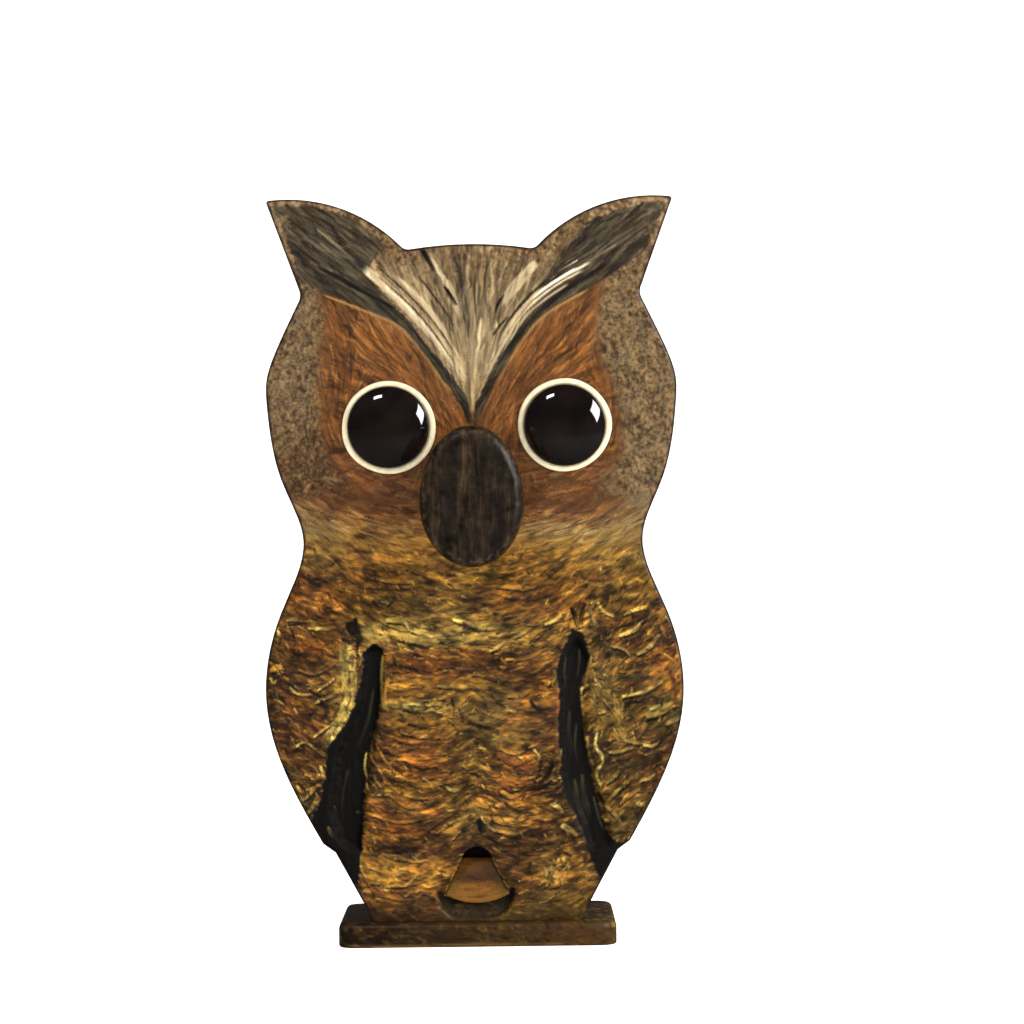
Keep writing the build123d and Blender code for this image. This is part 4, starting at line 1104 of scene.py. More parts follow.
def frontPoints(outline, loop, fine, size, wells):
    # the front's points, each one's well depth, and the indices of the loops: the edge first,
    # then the rim and the foot of each well; rings follow the rolled edge and a grid fills the rest
    step, roll = size["step"], size["roll"]
    normals = inwardNormals(loop)
    points, loops, wellDepth = [loop], [np.arange(len(loop))], [np.zeros(len(loop))]
    total = len(loop)
    for wellLoop, depth in wells:
        rim = evenLoop(wellLoop, step)
        foot = rim + inwardNormals(rim) * 0.1  # the wells' walls lean in a little
        for ring, low in ((rim, 0.0), (foot, depth)):
            loops.append(np.arange(total, total + len(ring)))
            points.append(ring)
            wellDepth.append(np.full(len(ring), low))
            total += len(ring)
    for share in size.get("rings", (0.14, 0.4, 0.7, 1.0)):
        ring = loop + normals * roll * share
        keep = distanceTo(fine, ring) > roll * share * 0.9
        points.append(ring[keep])
        wellDepth.append(np.zeros(keep.sum()))
    grid = hexGrid(outline.min(0), outline.max(0), step)
    grid = grid[insideLoop(evenLoop(outline, 0.4), grid)]
    keep = distanceTo(fine, grid) > roll + step * 0.6
    for wellLoop, depth in wells:
        keep &= distanceTo(evenLoop(wellLoop, 0.1), grid) > step * 0.62
    grid = grid[keep]
    low = np.zeros(len(grid))
    for wellLoop, depth in wells:
        low[insideLoop(wellLoop, grid)] = depth
    return np.vstack(points + [grid]), np.concatenate(wellDepth + [low]), loops


def rolledEdge(points, edge, size):
    # how deep the rounded edge and any slope set each point of the front
    roll = size["roll"]
    inner = np.clip(roll - edge, 0, roll)
    rolled = roll - np.sqrt(np.maximum(roll**2 - inner**2, 0))
    if "rolledAt" in size:
        rolled *= size["rolledAt"](points)
    if "slope" in size:
        rolled += size["slope"](points)
    return rolled


def sideRows(start, size):
    # (depth, inset) of each row of points down the sides and round the back edge
    back = size["backRoll"]
    straight = size["thick"] - back
    rows = [(mix(start, straight, share), 0.0) for share in np.linspace(0, 1, size.get("sideRows", 9))[1:]]
    for turn in (0.5, 1.05, 1.571):
        rows.append((np.full(len(start), straight + back * math.sin(turn)), back * (1 - math.cos(turn))))
    return rows


def meshPiece(name, points, faces):
    # a smooth piece of its own mesh, with every face turned outward
    mesh = bpy.data.meshes.new(name)
    mesh.from_pydata((points * metre).tolist(), [], faces)
    bm = bmesh.new()
    bm.from_mesh(mesh)
    bmesh.ops.recalc_face_normals(bm, faces=bm.faces)
    bm.to_mesh(mesh)
    bm.free()
    mesh.shade_smooth()
    piece = bpy.data.objects.new(name, mesh)
    bpy.context.scene.collection.objects.link(piece)
    return piece


def sharpen(mesh, rims):
    # hard shading along loops of points
    sharp = np.zeros(len(mesh.vertices), bool)
    sharp[np.concatenate(rims)] = True
    pairs = np.zeros(len(mesh.edges) * 2, int)
    mesh.edges.foreach_get("vertices", pairs)
    pairs = pairs.reshape(-1, 2)
    marks = mesh.attributes.new("sharp_edge", "BOOLEAN", "EDGE")
    marks.data.foreach_set("value", sharp[pairs[:, 0]] & sharp[pairs[:, 1]])


def slab(name, outline, size, place, lift, sideLift=None, wells=(), backDent=None):
    # a flat piece: size holds step, thick, roll and backRoll; place turns (u, v, depth) into
    # millimetres; lift raises the front at (u, v), sideLift the sides at (run round the edge, depth);
    # backDent holds two functions, one adds points to the back's grid and one gives the dents' depth.
    # Returns the piece, its points as (u, v, depth), their kind (0 front, 1 side, 2 back) and run
    loop, fine = evenLoop(outline, size["step"]), evenLoop(outline, 0.15)
    normals, ease = inwardNormals(loop), easeAtCorners(loop, size["step"])
    count = len(loop)
    points, wellDepth, loops = frontPoints(outline, loop, fine, size, wells)
    edge = distanceTo(fine, points)
    edge[:count] = 0
    raised = lift(points) * smooth(0.0, size["roll"] * 0.6, edge)
    depth = rolledEdge(points, edge, size) - raised + wellDepth
    for foot in loops[2::2]:
        depth[foot] = wellDepth[foot]
    layers, kinds = [np.c_[points, depth]], [np.zeros(len(points))]
    faces = [tuple(face) for face in triangles(points, loops)]
    run = np.r_[0, np.cumsum(np.hypot(*np.diff(loop, axis=0).T))]
    runs = [np.full(len(points), -1.0)]
    above = np.arange(count)
    total = len(points)
    for deep, inset in sideRows(depth[:count], size):
        onBack = inset >= size["backRoll"]
        shift = sideLift(run, deep) if sideLift is not None and not onBack else 0.0
        ring = loop + normals * (inset * ease - shift)[:, None]
        layers.append(np.c_[ring, deep])
        kinds.append(np.full(count, 2.0 if onBack else 1.0))
        runs.append(run)
        below = np.arange(total, total + count)
        for a, b, c, d in zip(above, np.roll(above, -1), np.roll(below, -1), below):
            faces.append((a, d, c, b))
        above = below
        total += count
    grid = hexGrid(outline.min(0), outline.max(0), size.get("backStep", 1.6))
    grid = grid[insideLoop(evenLoop(outline, 0.4), grid)]
    grid = grid[distanceTo(fine, grid) > size["backRoll"] + 0.8]
    dent = np.zeros(len(grid))
    if backDent is not None:
        grid = backDent[0](grid)
        dent = backDent[1](grid)
    layers.append(np.c_[grid, size["thick"] - dent])
    kinds.append(np.full(len(grid), 2.0))
    runs.append(np.full(len(grid), -1.0))
    index = np.r_[above, np.arange(total, total + len(grid))]
    backFaces = triangles(np.vstack([ring, grid]), [np.arange(count)])
    faces += [tuple(index[list(face[::-1])]) for face in backFaces]
    laid = np.vstack(layers)
    piece = meshPiece(name, place(*laid.T), [tuple(map(int, face)) for face in faces])
    if wells:
        sharpen(piece.data, loops[1:])
    return piece, laid, np.concatenate(kinds), np.concatenate(runs)


def layColours(piece, name, colour):
    # a colour attribute on the mesh's points, from display colours
    layer = piece.data.attributes.new(name, "FLOAT_COLOR", "POINT")
    values = np.c_[linear(colour), np.ones(len(colour))].astype(np.float32)
    layer.data.foreach_set("color", values.ravel())


def layValues(piece, name, values):
    layer = piece.data.attributes.new(name, "FLOAT", "POINT")
    layer.data.foreach_set("value", np.asarray(values, np.float32))


def rideAndReplace(piece, node, material):
    # the piece takes the place of its plain node
    piece.data.materials.append(material)
    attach(piece, "root")
    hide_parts(node)
    return piece


class Wiring:
    # short way to wire a material's nodes
    def __init__(self, name):
        self.material = bpy.data.materials.new(name)
        self.material.use_nodes = True
        self.tree = self.material.node_tree
        self.shader = self.tree.nodes["Principled BSDF"]

    def node(self, kind, values=None, **links):
        made = self.tree.nodes.new("ShaderNode" + kind)
        for key, value in (values or {}).items():
            if hasattr(made, key):
                setattr(made, key, value)
            else:
                made.inputs[key].default_value = value
        for key, source in links.items():
            self.tree.links.new(source, made.inputs[key])
        return made

    def link(self, source, target):
        self.tree.links.new(source, target)

    def ramp(self, source, stops):
        made = self.node("ValToRGB", Fac=source)
        elements = made.color_ramp.elements
        while len(elements) < len(stops):
            elements.new(0.5)
        for element, (position, colour) in zip(elements, stops):
            element.position = position
            shade = colour if hasattr(colour, "__len__") else (colour,) * 3
            element.color = (*map(float, shade), 1.0)
        return made.outputs["Color"]

    def bump(self, height, strength, distance):
        made = self.node("Bump", {"Strength": strength, "Distance": distance}, Height=height)
        self.link(made.outputs["Normal"], self.shader.inputs["Normal"])

    def multiplied(self, first, second, share=0.8):
        blend = {"blend_type": "MULTIPLY", "Fac": share}
        return self.node("MixRGB", blend, Color1=first, Color2=second).outputs["Color"]

    def noise(self, scale, detail, **values):
        where = self.node("TexCoord").outputs["Object"]
        values.update(Scale=scale, Detail=detail)
        return self.node("TexNoise", values, Vector=where).outputs["Fac"]

    def attribute(self, name, output="Fac"):
        return self.node("Attribute", {"attribute_name": name}).outputs[output]

    def set(self, **values):
        for key, value in values.items():
            self.shader.inputs[key.replace("_", " ")].default_value = value


def sRgb(*values):
    return tuple(float(v) for v in linear(np.array(values) / 255))


def woodGrain(wiring, place, tones, scale):
    # long streaks of grain in two sizes; place stretches the wood along its length
    where = wiring.node("TexCoord").outputs["Object"]
    stretched = wiring.node("Mapping", {"Scale": place}, Vector=where).outputs["Vector"]
    broad = {"Scale": scale, "Detail": 6.0, "Roughness": 0.6, "Distortion": 0.6}
    narrow = {"Scale": scale * 5, "Detail": 4.0, "Roughness": 0.7}
    wide = wiring.node("TexNoise", broad, Vector=stretched).outputs["Fac"]
    thin = wiring.node("TexNoise", narrow, Vector=stretched).outputs["Fac"]
    both = wiring.node("Mix", {"data_type": "FLOAT", "Factor": 0.35}, A=wide, B=thin).outputs["Result"]
    return wiring.ramp(both, tones), both


print("tools ready")

# the board
boardRelief = relief - groove["depth"] * grooves - hollow["depth"] * hollowArea
board = {
    "step": 0.29,
    "thick": float(boardHigh[1] - boardLow[1]),
    "roll": 0.8,
    "backRoll": 0.8,
    "pocketDepth": 5.0,
    "rolledAt": lambda points: smooth(5.0, 8.0, points[:, 1]),  # the foot stands flat on the base
}
halfwayIn = boardLow[1] + board["pocketDepth"] / 2
pocketLoop = [
    loop for loop in cutLoops("owl_board", halfwayIn) if loop[:, 1].max() < 30 and np.ptp(loop[:, 0]) > 6
][-1]


def boardLift(points):
    return onCanvas(boardRelief, points) * smooth(5.0, 7.0, points[:, 1])


sideWaves = (rng.random((40, 2)) * np.array([2 * math.pi, 1.0]))[:12]


def sideWobble(run, deep):
    # the sides are sawn by hand: shallow waves along the edge, a little different at each depth
    wave = sum(
        (0.3 + share) * np.sin(run * (0.13 + 0.09 * index) + phase + deep * 0.2 * share)
        for index, (phase, share) in enumerate(sideWaves)
    )
    return 0.012 * wave


boardPiece, boardLaid, boardKind, _ = slab(
    "paintedBoard", boardOutline, board,
    lambda u, v, deep: np.c_[u, boardLow[1] + deep, v], boardLift, sideWobble,
    wells=[(pocketLoop, board["pocketDepth"])],
)
frontPaint = onCanvas(colours, boardLaid[:, :2])
inPocket = insideLoop(evenLoop(pocketLoop, 0.2), boardLaid[:, :2]) & (boardKind == 0)
wallPaint = mix(paints["umber"], paints["ochre"], smooth(0.3, 0.9, rng.random((inPocket.sum(), 1))))
# the pocket's walls take brown paint that turns black near the top: painted shade in the gap under the arch
frontPaint[inPocket] = mix(wallPaint, paints["black"], smooth(16.8, 17.4, boardLaid[inPocket, 1])[:, None])
sideTone = mix(paints["darkUmber"] * (1.15 + 0.5 * rng.random((len(boardLaid), 1))), paints["umber"], 0.35)
onFront = boardKind == 0
intoSide = np.where(onFront, 0.0, smooth(0.6, 3.2, boardLaid[:, 2]))[:, None]
layColours(boardPiece, "paint", mix(frontPaint * np.where(onFront, 1.0, 0.75)[:, None], sideTone, intoSide))
layValues(boardPiece, "bare", smooth(15.5, 17.8, boardLaid[:, 2]) * ~onFront)
layValues(boardPiece, "dull", onCanvas(np.maximum(blacks, hollowArea), boardLaid[:, :2]) * onFront)
print("board", len(boardPiece.data.vertices), "vertices")

# wood that is painted: brushed colour from the mesh, bare stained wood where the paint stops
paintedWood = Wiring("paintedWood")
grain = woodGrain(
    paintedWood, (1.0, 1.0, 0.09),
    [(0.3, sRgb(92, 60, 34)), (0.5, sRgb(128, 88, 52)), (0.68, sRgb(150, 108, 68))], 260.0,
)[0]
grit = paintedWood.noise(2600.0, 3.0, Roughness=0.6)
toned = paintedWood.multiplied(
    paintedWood.attribute("paint", "Color"), paintedWood.ramp(grit, [(0.3, 0.82), (0.7, 1.12)])
)
shown = paintedWood.node("MixRGB", Fac=paintedWood.attribute("bare"), Color1=toned, Color2=grain)
paintedWood.link(shown.outputs["Color"], paintedWood.shader.inputs["Base Color"])
polish = paintedWood.ramp(paintedWood.noise(140.0, 5.0), [(0.3, 0.32), (0.7, 0.48)])
flat = {"Color2": (0.75, 0.75, 0.75, 1)}  # roughness of the black grooves
rough = paintedWood.node("MixRGB", flat, Fac=paintedWood.attribute("dull"), Color1=polish).outputs["Color"]
paintedWood.link(rough, paintedWood.shader.inputs["Roughness"])
paintedWood.bump(paintedWood.noise(1500.0, 4.0, Roughness=0.65), 0.35, 0.00012)
paintedWood.set(Specular_IOR_Level=0.25, IOR=1.45)
rideAndReplace(boardPiece, "owl_board", paintedWood.material)

# the base: its own sheet of paint, the front edge below and the top folded up behind it
baseLow, baseHigh = boxOf("base_plate")
base = {
    "step": 0.45,
    "thick": float(baseHigh[2]),
    "roll": 1.3,
    "backRoll": 0.5,
    "screwRadius": 3.6,
    "screwSlope": math.tan(math.radians(41)),
    "tone": (0.80, 0.72, 0.36),
}
baseOutline = evenLoop(cutLoops("base_plate", base["thick"] / 2, (0, 0, 1))[0], 0.1)
startCanvas(**sheets["base"])
everywhere = np.ones_like(relief)
underpaint(everywhere, [
    (-24, 2.4, 9, 3, paints["darkUmber"] * 0.75), (-8, 2.4, 8, 3, paints["olive"] * 0.5),
    (6, 2.4, 8, 3, paints["olive"] * 0.66), (20, 2.4, 8, 3, paints["umber"] * 1.1),
    (-26, 8, 5, 6, "darkUmber"),
    (26, 8, 5, 6, "slate"), (0, 8, 16, 6, "umber"), (60, 3, 20, 5, paints["umber"] * 0.8),
    (-60, 3, 20, 5, paints["umber"] * 0.7), (0, 30, 40, 12, paints["umber"] * 0.8),
])


def baseStroke(x, z):
    return rng.normal(0, 0.35)


frontStrip = smooth(36, 33, np.abs(gridX)) * smooth(9.5, 8.5, gridZ)
brushOver(everywhere, 900, baseStroke, 4.5, 0.9, tinted(["umber", "olive", "darkUmber"], 0.3, 0.14),
          0.1, 0.5)
brushOver(everywhere, 500, baseStroke, 2.8, 0.34, tinted(["black", "tan", "darkUmber"], 0.5), 0.05, 0.7)
brushOver(frontStrip, 420, baseStroke, 2.2, 0.36, tinted(["black", "darkUmber"], 0.65), 0.02, 0.6)
brushOver(frontStrip, 420, baseStroke, 2.0, 0.3, tinted(["tan", "ochre", "taupe"], 0.5), 0.16, 0.7)
leftEnd = smooth(-4, -16, gridX) * smooth(-34, -30, gridX)
brushOver(leftEnd * frontStrip, 260, baseStroke, 1.7, 0.34, tinted(["black", "tan", "black"], 0.6),
          0.1, 0.7)
ribbons([
    ("tan", 0.5, [(-27, 0.5), (-14, 0.3), (2, 0.6), (14, 0.4), (27, 0.5)]),
    ("black", 1.2, [(-28.4, 2.4), (-27.0, 3.8), (-25.6, 4.6)]),
    ("darkUmber", 0.8, [(-12, 4.4), (-2, 3.8), (8, 4.5), (16, 4.2)]),
    ("greige", 1.4, [(22.5, 6.2), (25.5, 6.8), (28.0, 6.4)]),
    ("slate", 2.2, [(21.6, 8.6), (25.0, 9.6), (28.6, 9.0)]),
    ("black", 0.9, [(21.4, 6.0), (22.6, 8.2), (24.6, 11.0)]),
], 0.1, 0.9)
speckle(smooth(20, 23, gridX) * smooth(30, 28, gridX) * smooth(5, 6, gridZ), "greige", "charcoal", 0.7, 0.7)


def baseSpots(laid, run, loopLength, frontRun):
    # where each point of the base lies on its sheet of paint
    around = (run - frontRun + loopLength / 2) % loopLength - loopLength / 2
    top = np.c_[laid[:, 0], base["thick"] + laid[:, 1] - baseLow[1]]
    side = np.c_[around, base["thick"] - laid[:, 2]]
    return np.where((run >= 0)[:, None], side, top)


def baseLift(points):
    # the top's paint thickness
    spots = np.c_[points[:, 0], base["thick"] + points[:, 1] - baseLow[1]]
    return onCanvas(relief, spots) * 0.8


screwCentres = [sum(boxOf(node))[:2] / 2 for node in ("base_screw_left", "base_screw_right")]


def screwRings(grid):
    # the grid with rings of points round the screws
    rings = []
    for centre in screwCentres:
        grid = grid[np.hypot(*(grid - centre).T) > base["screwRadius"] + 0.5]
        turns = np.linspace(0, 2 * math.pi, 32, endpoint=False)
        for radius in (base["screwRadius"], 2.6, 1.6, 0.7):
            rings.append(centre + radius * np.c_[np.cos(turns), np.sin(turns)])
    return np.vstack([grid] + rings)


def screwDents(points):
    # the countersinks' depth at each point
    dent = np.zeros(len(points))
    for centre in screwCentres:
        radius = np.hypot(*(points - centre).T)
        dent = np.maximum(dent, (base["screwRadius"] - radius) / base["screwSlope"])
    return np.clip(dent, 0, 3.0)


basePiece, baseLaid, baseKind, baseRun = slab(
    "paintedBase", baseOutline, base,
    lambda u, v, deep: np.c_[u, v, base["thick"] - deep], baseLift, backDent=(screwRings, screwDents),
)
baseLoop = evenLoop(baseOutline, base["step"])
loopLength = float(np.hypot(*np.diff(baseLoop, axis=0, append=baseLoop[:1]).T).sum())
frontIndex = int(np.argmin(np.hypot(baseLoop[:, 0], baseLoop[:, 1] - baseLow[1])))
frontRun = float(np.hypot(*np.diff(baseLoop[: frontIndex + 1], axis=0).T).sum())
basePaint = onCanvas(colours, baseSpots(baseLaid, baseRun, loopLength, frontRun)) * np.array(base["tone"])
inDent = (baseKind == 2) & (screwDents(baseLaid[:, :2]) > 0.01)
basePaint[inDent] = paints["umber"]
layColours(basePiece, "paint", basePaint)
layValues(basePiece, "bare", (baseKind == 2) * 1.0)
rideAndReplace(basePiece, "base_plate", paintedWood.material)
print("base", len(basePiece.data.vertices), "vertices")

# the beak: an egg-shaped block, almost black, with a pale painted highlight along its rim
beakLow, beakHigh = boxOf("beak")
beak = {
    "step": 0.4,
    "thick": float(beakHigh[1] - beakLow[1]),
    "roll": 2.2,
    "backRoll": 0.8,
    "rings": (0.06, 0.16, 0.28, 0.42, 0.58, 0.76, 0.94),
    "backStep": 1.2,
}
beakOutline = evenLoop(cutLoops("beak", (beakLow[1] + beakHigh[1]) / 2)[0], 0.1)
startCanvas(**sheets["beak"])
carved = coarseNoise((12, 22), gridX.shape, -0.1, 0.1) + coarseNoise((60, 160), gridX.shape, -0.025, 0.025)
beakPiece, beakLaid, beakKind, _ = slab(
    "darkBeak", beakOutline, beak, lambda u, v, deep: np.c_[u, beakLow[1] + deep, v],
    lambda points: onCanvas(carved, points),
)
beakEdge = distanceTo(evenLoop(beakOutline, 0.2), beakLaid[:, :2])
# the band along the front edge that takes the painted highlight
layValues(beakPiece, "rim", smooth(1.1, 0.2, np.abs(beakEdge - 0.8)) * (beakKind == 0))
beakWood = Wiring("darkBeakWood")
streaks, streakHeight = woodGrain(
    beakWood, (1.0, 1.0, 0.12),
    [(0.3, sRgb(11, 7, 3)), (0.5, sRgb(28, 19, 8)), (0.7, sRgb(66, 47, 20))], 420.0,
)
mottle = beakWood.noise(330.0, 6.0, Roughness=0.65)
mottled = beakWood.multiplied(streaks, beakWood.ramp(mottle, [(0.34, 0.2), (0.66, 1.8)]))
# pale spots in that band, mixed into the colour: a painted highlight on the rim
rimHighlightSpots = beakWood.ramp(beakWood.noise(900.0, 4.0), [(0.5, 0.0), (0.68, 0.3)])
worn = beakWood.node("Math", {"operation": "MULTIPLY"})
beakWood.link(beakWood.attribute("rim"), worn.inputs[0])
beakWood.link(rimHighlightSpots, worn.inputs[1])
rimHighlighted = beakWood.node("MixRGB", {"Color2": (*sRgb(104, 84, 58), 1)}, Fac=worn.outputs[0], Color1=mottled)
beakWood.link(rimHighlighted.outputs["Color"], beakWood.shader.inputs["Base Color"])
beakWood.link(beakWood.ramp(mottle, [(0.3, 0.32), (0.7, 0.52)]), beakWood.shader.inputs["Roughness"])
beakWood.bump(streakHeight, 0.4, 0.00015)
beakWood.set(Specular_IOR_Level=0.25)
rideAndReplace(beakPiece, "beak", beakWood.material)

# the tail: a bell-shaped slip of wood, brown above and orange below, partly paint and partly painted light:
# lighter towards the bottom, where its leaning face catches more light
tailLow, tailHigh = boxOf("tail")
tail = {
    "step": 0.25,
    "thick": float(tailHigh[1] - tailLow[1]),
    "roll": 0.35,
    "backRoll": 0.2,
    "backStep": 1.0,
    "sideRows": 4,
    "leans": 4.3,
    "tone": (0.74, 0.68, 0.22),
}


def tailSlope(points):
    # the tail's face leans back towards its top
    return np.maximum(points[:, 1] - tailLow[2], 0) * tail["leans"] / (tailHigh[2] - tailLow[2])


tail["slope"] = tailSlope
tailOutline = evenLoop(cutLoops("tail", tailHigh[1] - 0.3)[0], 0.05)
startCanvas(**sheets["tail"])
everywhere = np.ones_like(relief)
underpaint(everywhere, [
    (0, 18, 8, 1.6, paintOf(124, 82, 20)), (0, 15.8, 3, 1.3, paintOf(120, 72, 18)),
    (0, 11.2, 3.4, 1.1, paintOf(160, 108, 22)), (0, 13.8, 4, 0.8, paintOf(84, 46, 8)),
    (-5.4, 12.4, 1.6, 1.5, paintOf(122, 94, 34)), (5.6, 12.4, 1.4, 1.5, paintOf(112, 84, 30)),
    (-3.4, 16.4, 1.0, 2, paintOf(104, 82, 28)), (3.6, 16.4, 1.0, 2, paintOf(96, 72, 24)),
])
brushOver(everywhere, 150, fanned(0.06), 3.0, 0.6, tinted(["sienna", "umber"], 0.12, 0.06), 0.04, 0.5)
brushOver(everywhere, 120, fanned(0.06), 2.0, 0.25, tinted(["ochre", "umber"], 0.2), 0.05, 0.8)
# a dark band across the middle, and tan lines down the sides and along the bottom: painted highlights where
# the tail's edges catch the light
ribbons([
    ("darkUmber", 0.5, [(-2.2, 13.9), (0.2, 13.5), (2.4, 13.9)]),
    ("tan", 0.3, [(6.3, 11.2), (5.2, 14.0), (3.5, 17.2)]),
    ("tan", 0.3, [(2.2, 9.6), (4.4, 10.2), (6.4, 11.0)]),
    ("tan", 0.25, [(-6.3, 11.4), (-5.6, 12.4), (-4.9, 13.6)]),
], 0.06, 0.7)
colours *= np.array(tail["tone"], np.float32)
tailPiece, tailLaid, tailKind, _ = slab(
    "paintedTail", tailOutline, tail, lambda u, v, deep: np.c_[u, tailLow[1] + deep, v],
    lambda points: onCanvas(relief, points),
)
tailShade = np.where(tailKind == 0, 1.0, 0.6)[:, None]
layColours(tailPiece, "paint", onCanvas(colours, tailLaid[:, :2]) * tailShade)
layValues(tailPiece, "bare", tailKind == 2)
rideAndReplace(tailPiece, "tail", paintedWood.material)
print("beak and tail ready")


def turned(name, centre, profile, wobble, count=96):
    # a turned piece facing forward: profile holds (radius, forward) from the rim to the middle
    turns = np.linspace(0, 2 * math.pi, count, endpoint=False)
    verts, faces = [], []
    for row, (radius, forward) in enumerate(profile[:-1]):
        reach = radius * (1 + wobble(turns, radius))
        for x, z in zip(np.cos(turns) * reach, np.sin(turns) * reach):
            verts.append((centre[0] + x, centre[1] - forward, centre[2] + z))
        if row:
            for k in range(count):
                a, b = (row - 1) * count + k, (row - 1) * count + (k + 1) % count
                faces.append((a, b, b + count, a + count))
    verts.append((centre[0], centre[1] - profile[-1][1], centre[2]))
    last = (len(profile) - 2) * count
    faces += [(last + k, last + (k + 1) % count, len(verts) - 1) for k in range(count)]
    faces.append(tuple(range(count - 1, -1, -1)))
    verts = np.array(verts)
    return meshPiece(name, verts, faces), verts


# the eyes: glossy black domes on cream painted discs
eye = {
    "rimUneven": 0.014,
    "seat": 0.9,  # how far the ring's mesh reaches into the board
    "cream": (238, 226, 190),
    "worn": (214, 190, 140),
}
ringPaint = Wiring("creamRing")
smear = ringPaint.noise(700.0, 5.0)
smeared = ringPaint.multiplied(
    ringPaint.attribute("paint", "Color"), ringPaint.ramp(smear, [(0.3, 0.86), (0.7, 1.08)])
)
ringPaint.link(smeared, ringPaint.shader.inputs["Base Color"])
ringPaint.link(ringPaint.ramp(smear, [(0.3, 0.35), (0.7, 0.55)]), ringPaint.shader.inputs["Roughness"])
ringPaint.bump(smear, 0.3, 0.0001)

eyeGloss = Wiring("blackEyeGloss")
haze = eyeGloss.noise(160.0, 4.0)
hazed = eyeGloss.ramp(haze, [(0.35, sRgb(10, 8, 8)), (0.7, sRgb(26, 18, 15))])
eyeGloss.link(hazed, eyeGloss.shader.inputs["Base Color"])
eyeGloss.link(eyeGloss.ramp(haze, [(0.3, 0.03), (0.75, 0.07)]), eyeGloss.shader.inputs["Roughness"])
eyeGloss.set(IOR=1.52, Coat_Weight=0.6, Coat_Roughness=0.02)


def perfectlyRound(turns, radius):
    return 0 * turns


for sideName in ("left", "right"):
    discLow, discHigh = boxOf(sideName + "_eye_disc")
    domeLow, domeHigh = boxOf(sideName + "_eye")
    centre = ((discLow[0] + discHigh[0]) / 2, boardLow[1], (discLow[2] + discHigh[2]) / 2)
    discRadius = (discHigh[0] - discLow[0]) / 2
    domeRadius = (domeHigh[0] - domeLow[0]) / 2
    phases = rng.random(6) * 2 * math.pi

    def uneven(turns, radius, phases=phases):
        # the disc's edge is cut by hand
        waves = sum(np.sin(turns * (k + 1) + phase) / (k + 1.5) for k, phase in enumerate(phases))
        return eye["rimUneven"] * waves

    proud = float(boardLow[1] - discLow[1])
    profile = [
        (discRadius * 0.98, -eye["seat"]), (discRadius, -0.1), (discRadius, proud * 0.55),
        (discRadius - 0.12, proud * 0.86), (discRadius - 0.35, proud), (discRadius - 0.7, proud + 0.02),
        (domeRadius + 0.25, proud), (domeRadius - 0.1, proud - 0.05), (domeRadius * 0.5, proud - 0.05),
        (0, proud - 0.05),
    ]
    disc, spots = turned(sideName + "EyeRing", centre, profile, uneven)
    radius = np.hypot(spots[:, 0] - centre[0], spots[:, 2] - centre[2])
    tone = mix(paintOf(*eye["cream"]), paintOf(*eye["worn"]), rng.random((len(spots), 1)) * 0.5)
    # the ring darkens next to the board and under the dome's edge: painted shade where the parts meet
    tone = mix(tone, paints["darkUmber"], smooth(proud * 0.4, 0.05, boardLow[1] - spots[:, 1])[:, None])
    tone = mix(tone, paints["umber"], smooth(domeRadius + 0.2, domeRadius - 0.1, radius)[:, None])
    layColours(disc, "paint", tone)
    rideAndReplace(disc, sideName + "_eye_disc", ringPaint.material)

    lift = float(boardLow[1] - domeLow[1]) - proud
    bend = np.linspace(0, math.pi / 2, 22)
    profile = [(domeRadius, proud - 0.3), (domeRadius, proud + 0.18)]
    profile += [(domeRadius * math.cos(t), proud + 0.3 + (lift - 0.3) * math.sin(t)) for t in bend[1:-1]]
    profile += [(0, proud + lift)]
    dome, spots = turned(sideName + "EyeDome", centre, profile, perfectlyRound)
    rideAndReplace(dome, sideName + "_eye", eyeGloss.material)
print("eyes ready")

# the peg and the screws keep their shapes and take finer materials
pegWood = Wiring("stainedPeg")
dowel, dowelHeight = woodGrain(
    pegWood, (1.0, 0.1, 1.0),
    [(0.3, sRgb(78, 52, 30)), (0.5, sRgb(112, 78, 46)), (0.7, sRgb(140, 102, 64))], 700.0,
)
pegWood.link(dowel, pegWood.shader.inputs["Base Color"])
pegWood.link(pegWood.ramp(dowelHeight, [(0.3, 0.5), (0.7, 0.68)]), pegWood.shader.inputs["Roughness"])
pegWood.bump(dowelHeight, 0.4, 0.0001)

screwSteel = Wiring("zincSteel")
wear = screwSteel.noise(900.0, 4.0)
zinc = screwSteel.ramp(wear, [(0.35, sRgb(150, 148, 142)), (0.7, sRgb(188, 186, 180))])
screwSteel.link(zinc, screwSteel.shader.inputs["Base Color"])
screwSteel.link(screwSteel.ramp(wear, [(0.3, 0.26), (0.7, 0.42)]), screwSteel.shader.inputs["Roughness"])
screwSteel.set(Metallic=1.0)

for node, look in (
    ("beak_peg", pegWood), ("base_screw_left", screwSteel), ("base_screw_right", screwSteel),
):
    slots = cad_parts[node].material_slots
    if not slots:
        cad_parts[node].data.materials.append(look.material)
    for slot in slots:
        slot.material = look.material

# a white floor that curves up into a backdrop
stage = {"wide": 6.0, "front": -3.0, "back": 1.7, "bend": 1.0, "high": 3.2, "columns": 24}  # metres
bendStart = stage["back"] - stage["bend"]
section = [(stage["front"], 0.0), (bendStart, 0.0)]
for turn in np.linspace(0, math.pi / 2, 61)[1:]:
    section.append((bendStart + stage["bend"] * math.sin(turn), stage["bend"] * (1 - math.cos(turn))))
section.append((stage["back"], stage["high"]))
across = np.linspace(-stage["wide"] / 2, stage["wide"] / 2, stage["columns"])
verts = [(float(x), y, z) for y, z in section for x in across]
corners = [row * len(across) + k for row in range(len(section) - 1) for k in range(len(across) - 1)]
faces = [(k, k + 1, k + 1 + len(across), k + len(across)) for k in corners]
mesh = bpy.data.meshes.new("floor")
mesh.from_pydata(verts, [], faces)
mesh.shade_smooth()
floor = bpy.data.objects.new("floor", mesh)
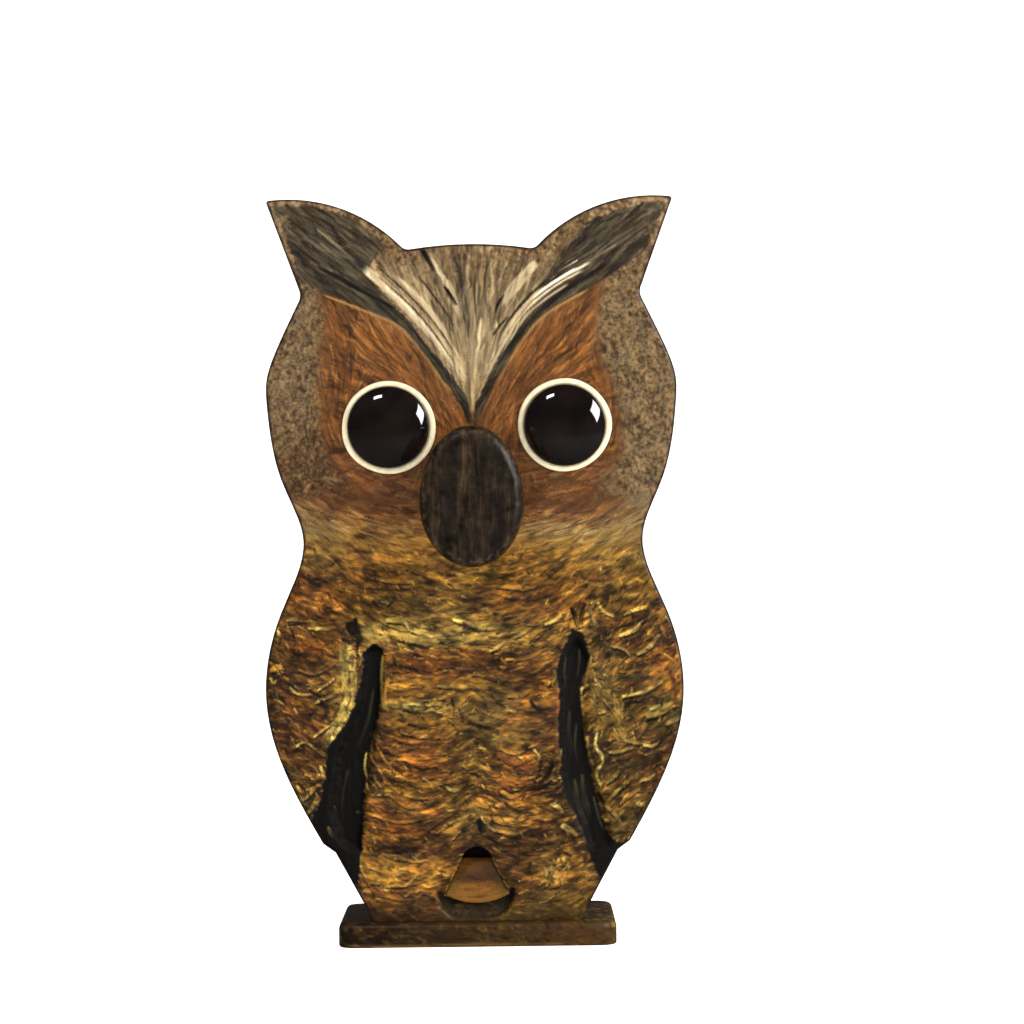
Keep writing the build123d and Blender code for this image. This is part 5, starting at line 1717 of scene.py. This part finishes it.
bpy.context.scene.collection.objects.link(floor)
paper = Wiring("whitePaper")
white = paper.ramp(paper.noise(3.0, 2.0), [(0.3, 0.93), (0.7, 0.95)])
mirrored = paper.node("LightPath").outputs["Is Glossy Ray"]  # the paper, too, shows dark in reflections
dimmed = paper.node("MixRGB", {"Color2": (0.06, 0.06, 0.06, 1)}, Fac=mirrored, Color1=white)
paper.link(dimmed.outputs["Color"], paper.shader.inputs["Base Color"])
paper.set(Roughness=0.9, Specular_IOR_Level=0.2, Emission_Color=(1, 1, 1, 1))
glow = paper.node("MapRange", {"To Min": 0.8, "To Max": 0.0}, Value=mirrored)
paper.link(glow.outputs["Result"], paper.shader.inputs["Emission Strength"])
mesh.materials.append(paper.material)

# light: a white room that shows dark in reflections, a tall window to the right and a lamp
lights = {
    "aim": (0.001, -0.012, 0.105),  # between the eyes
    "room": 0.5,
    "reflected": 0.04,  # share of the room's light that glossy surfaces mirror
    "window": {"from": (0.74, -0.5, 0.36), "away": 0.62, "size": (0.2, 0.42), "power": 4.2},
    "lamp": {"from": (-0.25, -0.67, 0.62), "away": 0.7, "size": (0.12, 0.09), "power": 1.2},
}
world = bpy.data.worlds.new("room")
world.use_nodes = True
sky = world.node_tree.nodes["Background"]
sky.inputs["Color"].default_value = (1.0, 1.0, 1.0, 1.0)
path = world.node_tree.nodes.new("ShaderNodeLightPath")
dim = world.node_tree.nodes.new("ShaderNodeMapRange")
dim.inputs["To Min"].default_value = lights["room"]
dim.inputs["To Max"].default_value = lights["room"] * lights["reflected"]
world.node_tree.links.new(path.outputs["Is Glossy Ray"], dim.inputs["Value"])
world.node_tree.links.new(dim.outputs["Result"], sky.inputs["Strength"])
bpy.context.scene.world = world
for name in ("window", "lamp"):
    info = lights[name]
    data = bpy.data.lights.new(name, "AREA")
    data.shape = "RECTANGLE"
    data.size, data.size_y = info["size"]
    data.energy = info["power"]
    lamp = bpy.data.objects.new(name, data)
    direction = Vector(info["from"]).normalized()
    lamp.location = Vector(lights["aim"]) + direction * info["away"]
    lamp.rotation_euler = (-direction).to_track_quat("-Z", "Z").to_euler()
    bpy.context.scene.collection.objects.link(lamp)

# the camera stands level at the height of the neck, tipped a little to one side
view = {"right": 8.0, "away": 640.0, "high": 88.0, "lens": 110.8, "sensor": 36.0, "tip": 0.7}
data = bpy.data.cameras.new("camera")
data.lens = view["lens"]
data.sensor_width = view["sensor"]
data.clip_start = 0.01
camera = bpy.data.objects.new("camera", data)
camera.location = Vector((view["right"], boardLow[1] - view["away"], view["high"])) * metre
camera.rotation_euler = (math.pi / 2, math.radians(view["tip"]), 0.0)
bpy.context.scene.collection.objects.link(camera)
bpy.context.scene.camera = camera
bpy.context.scene.view_settings.view_transform = "Standard"
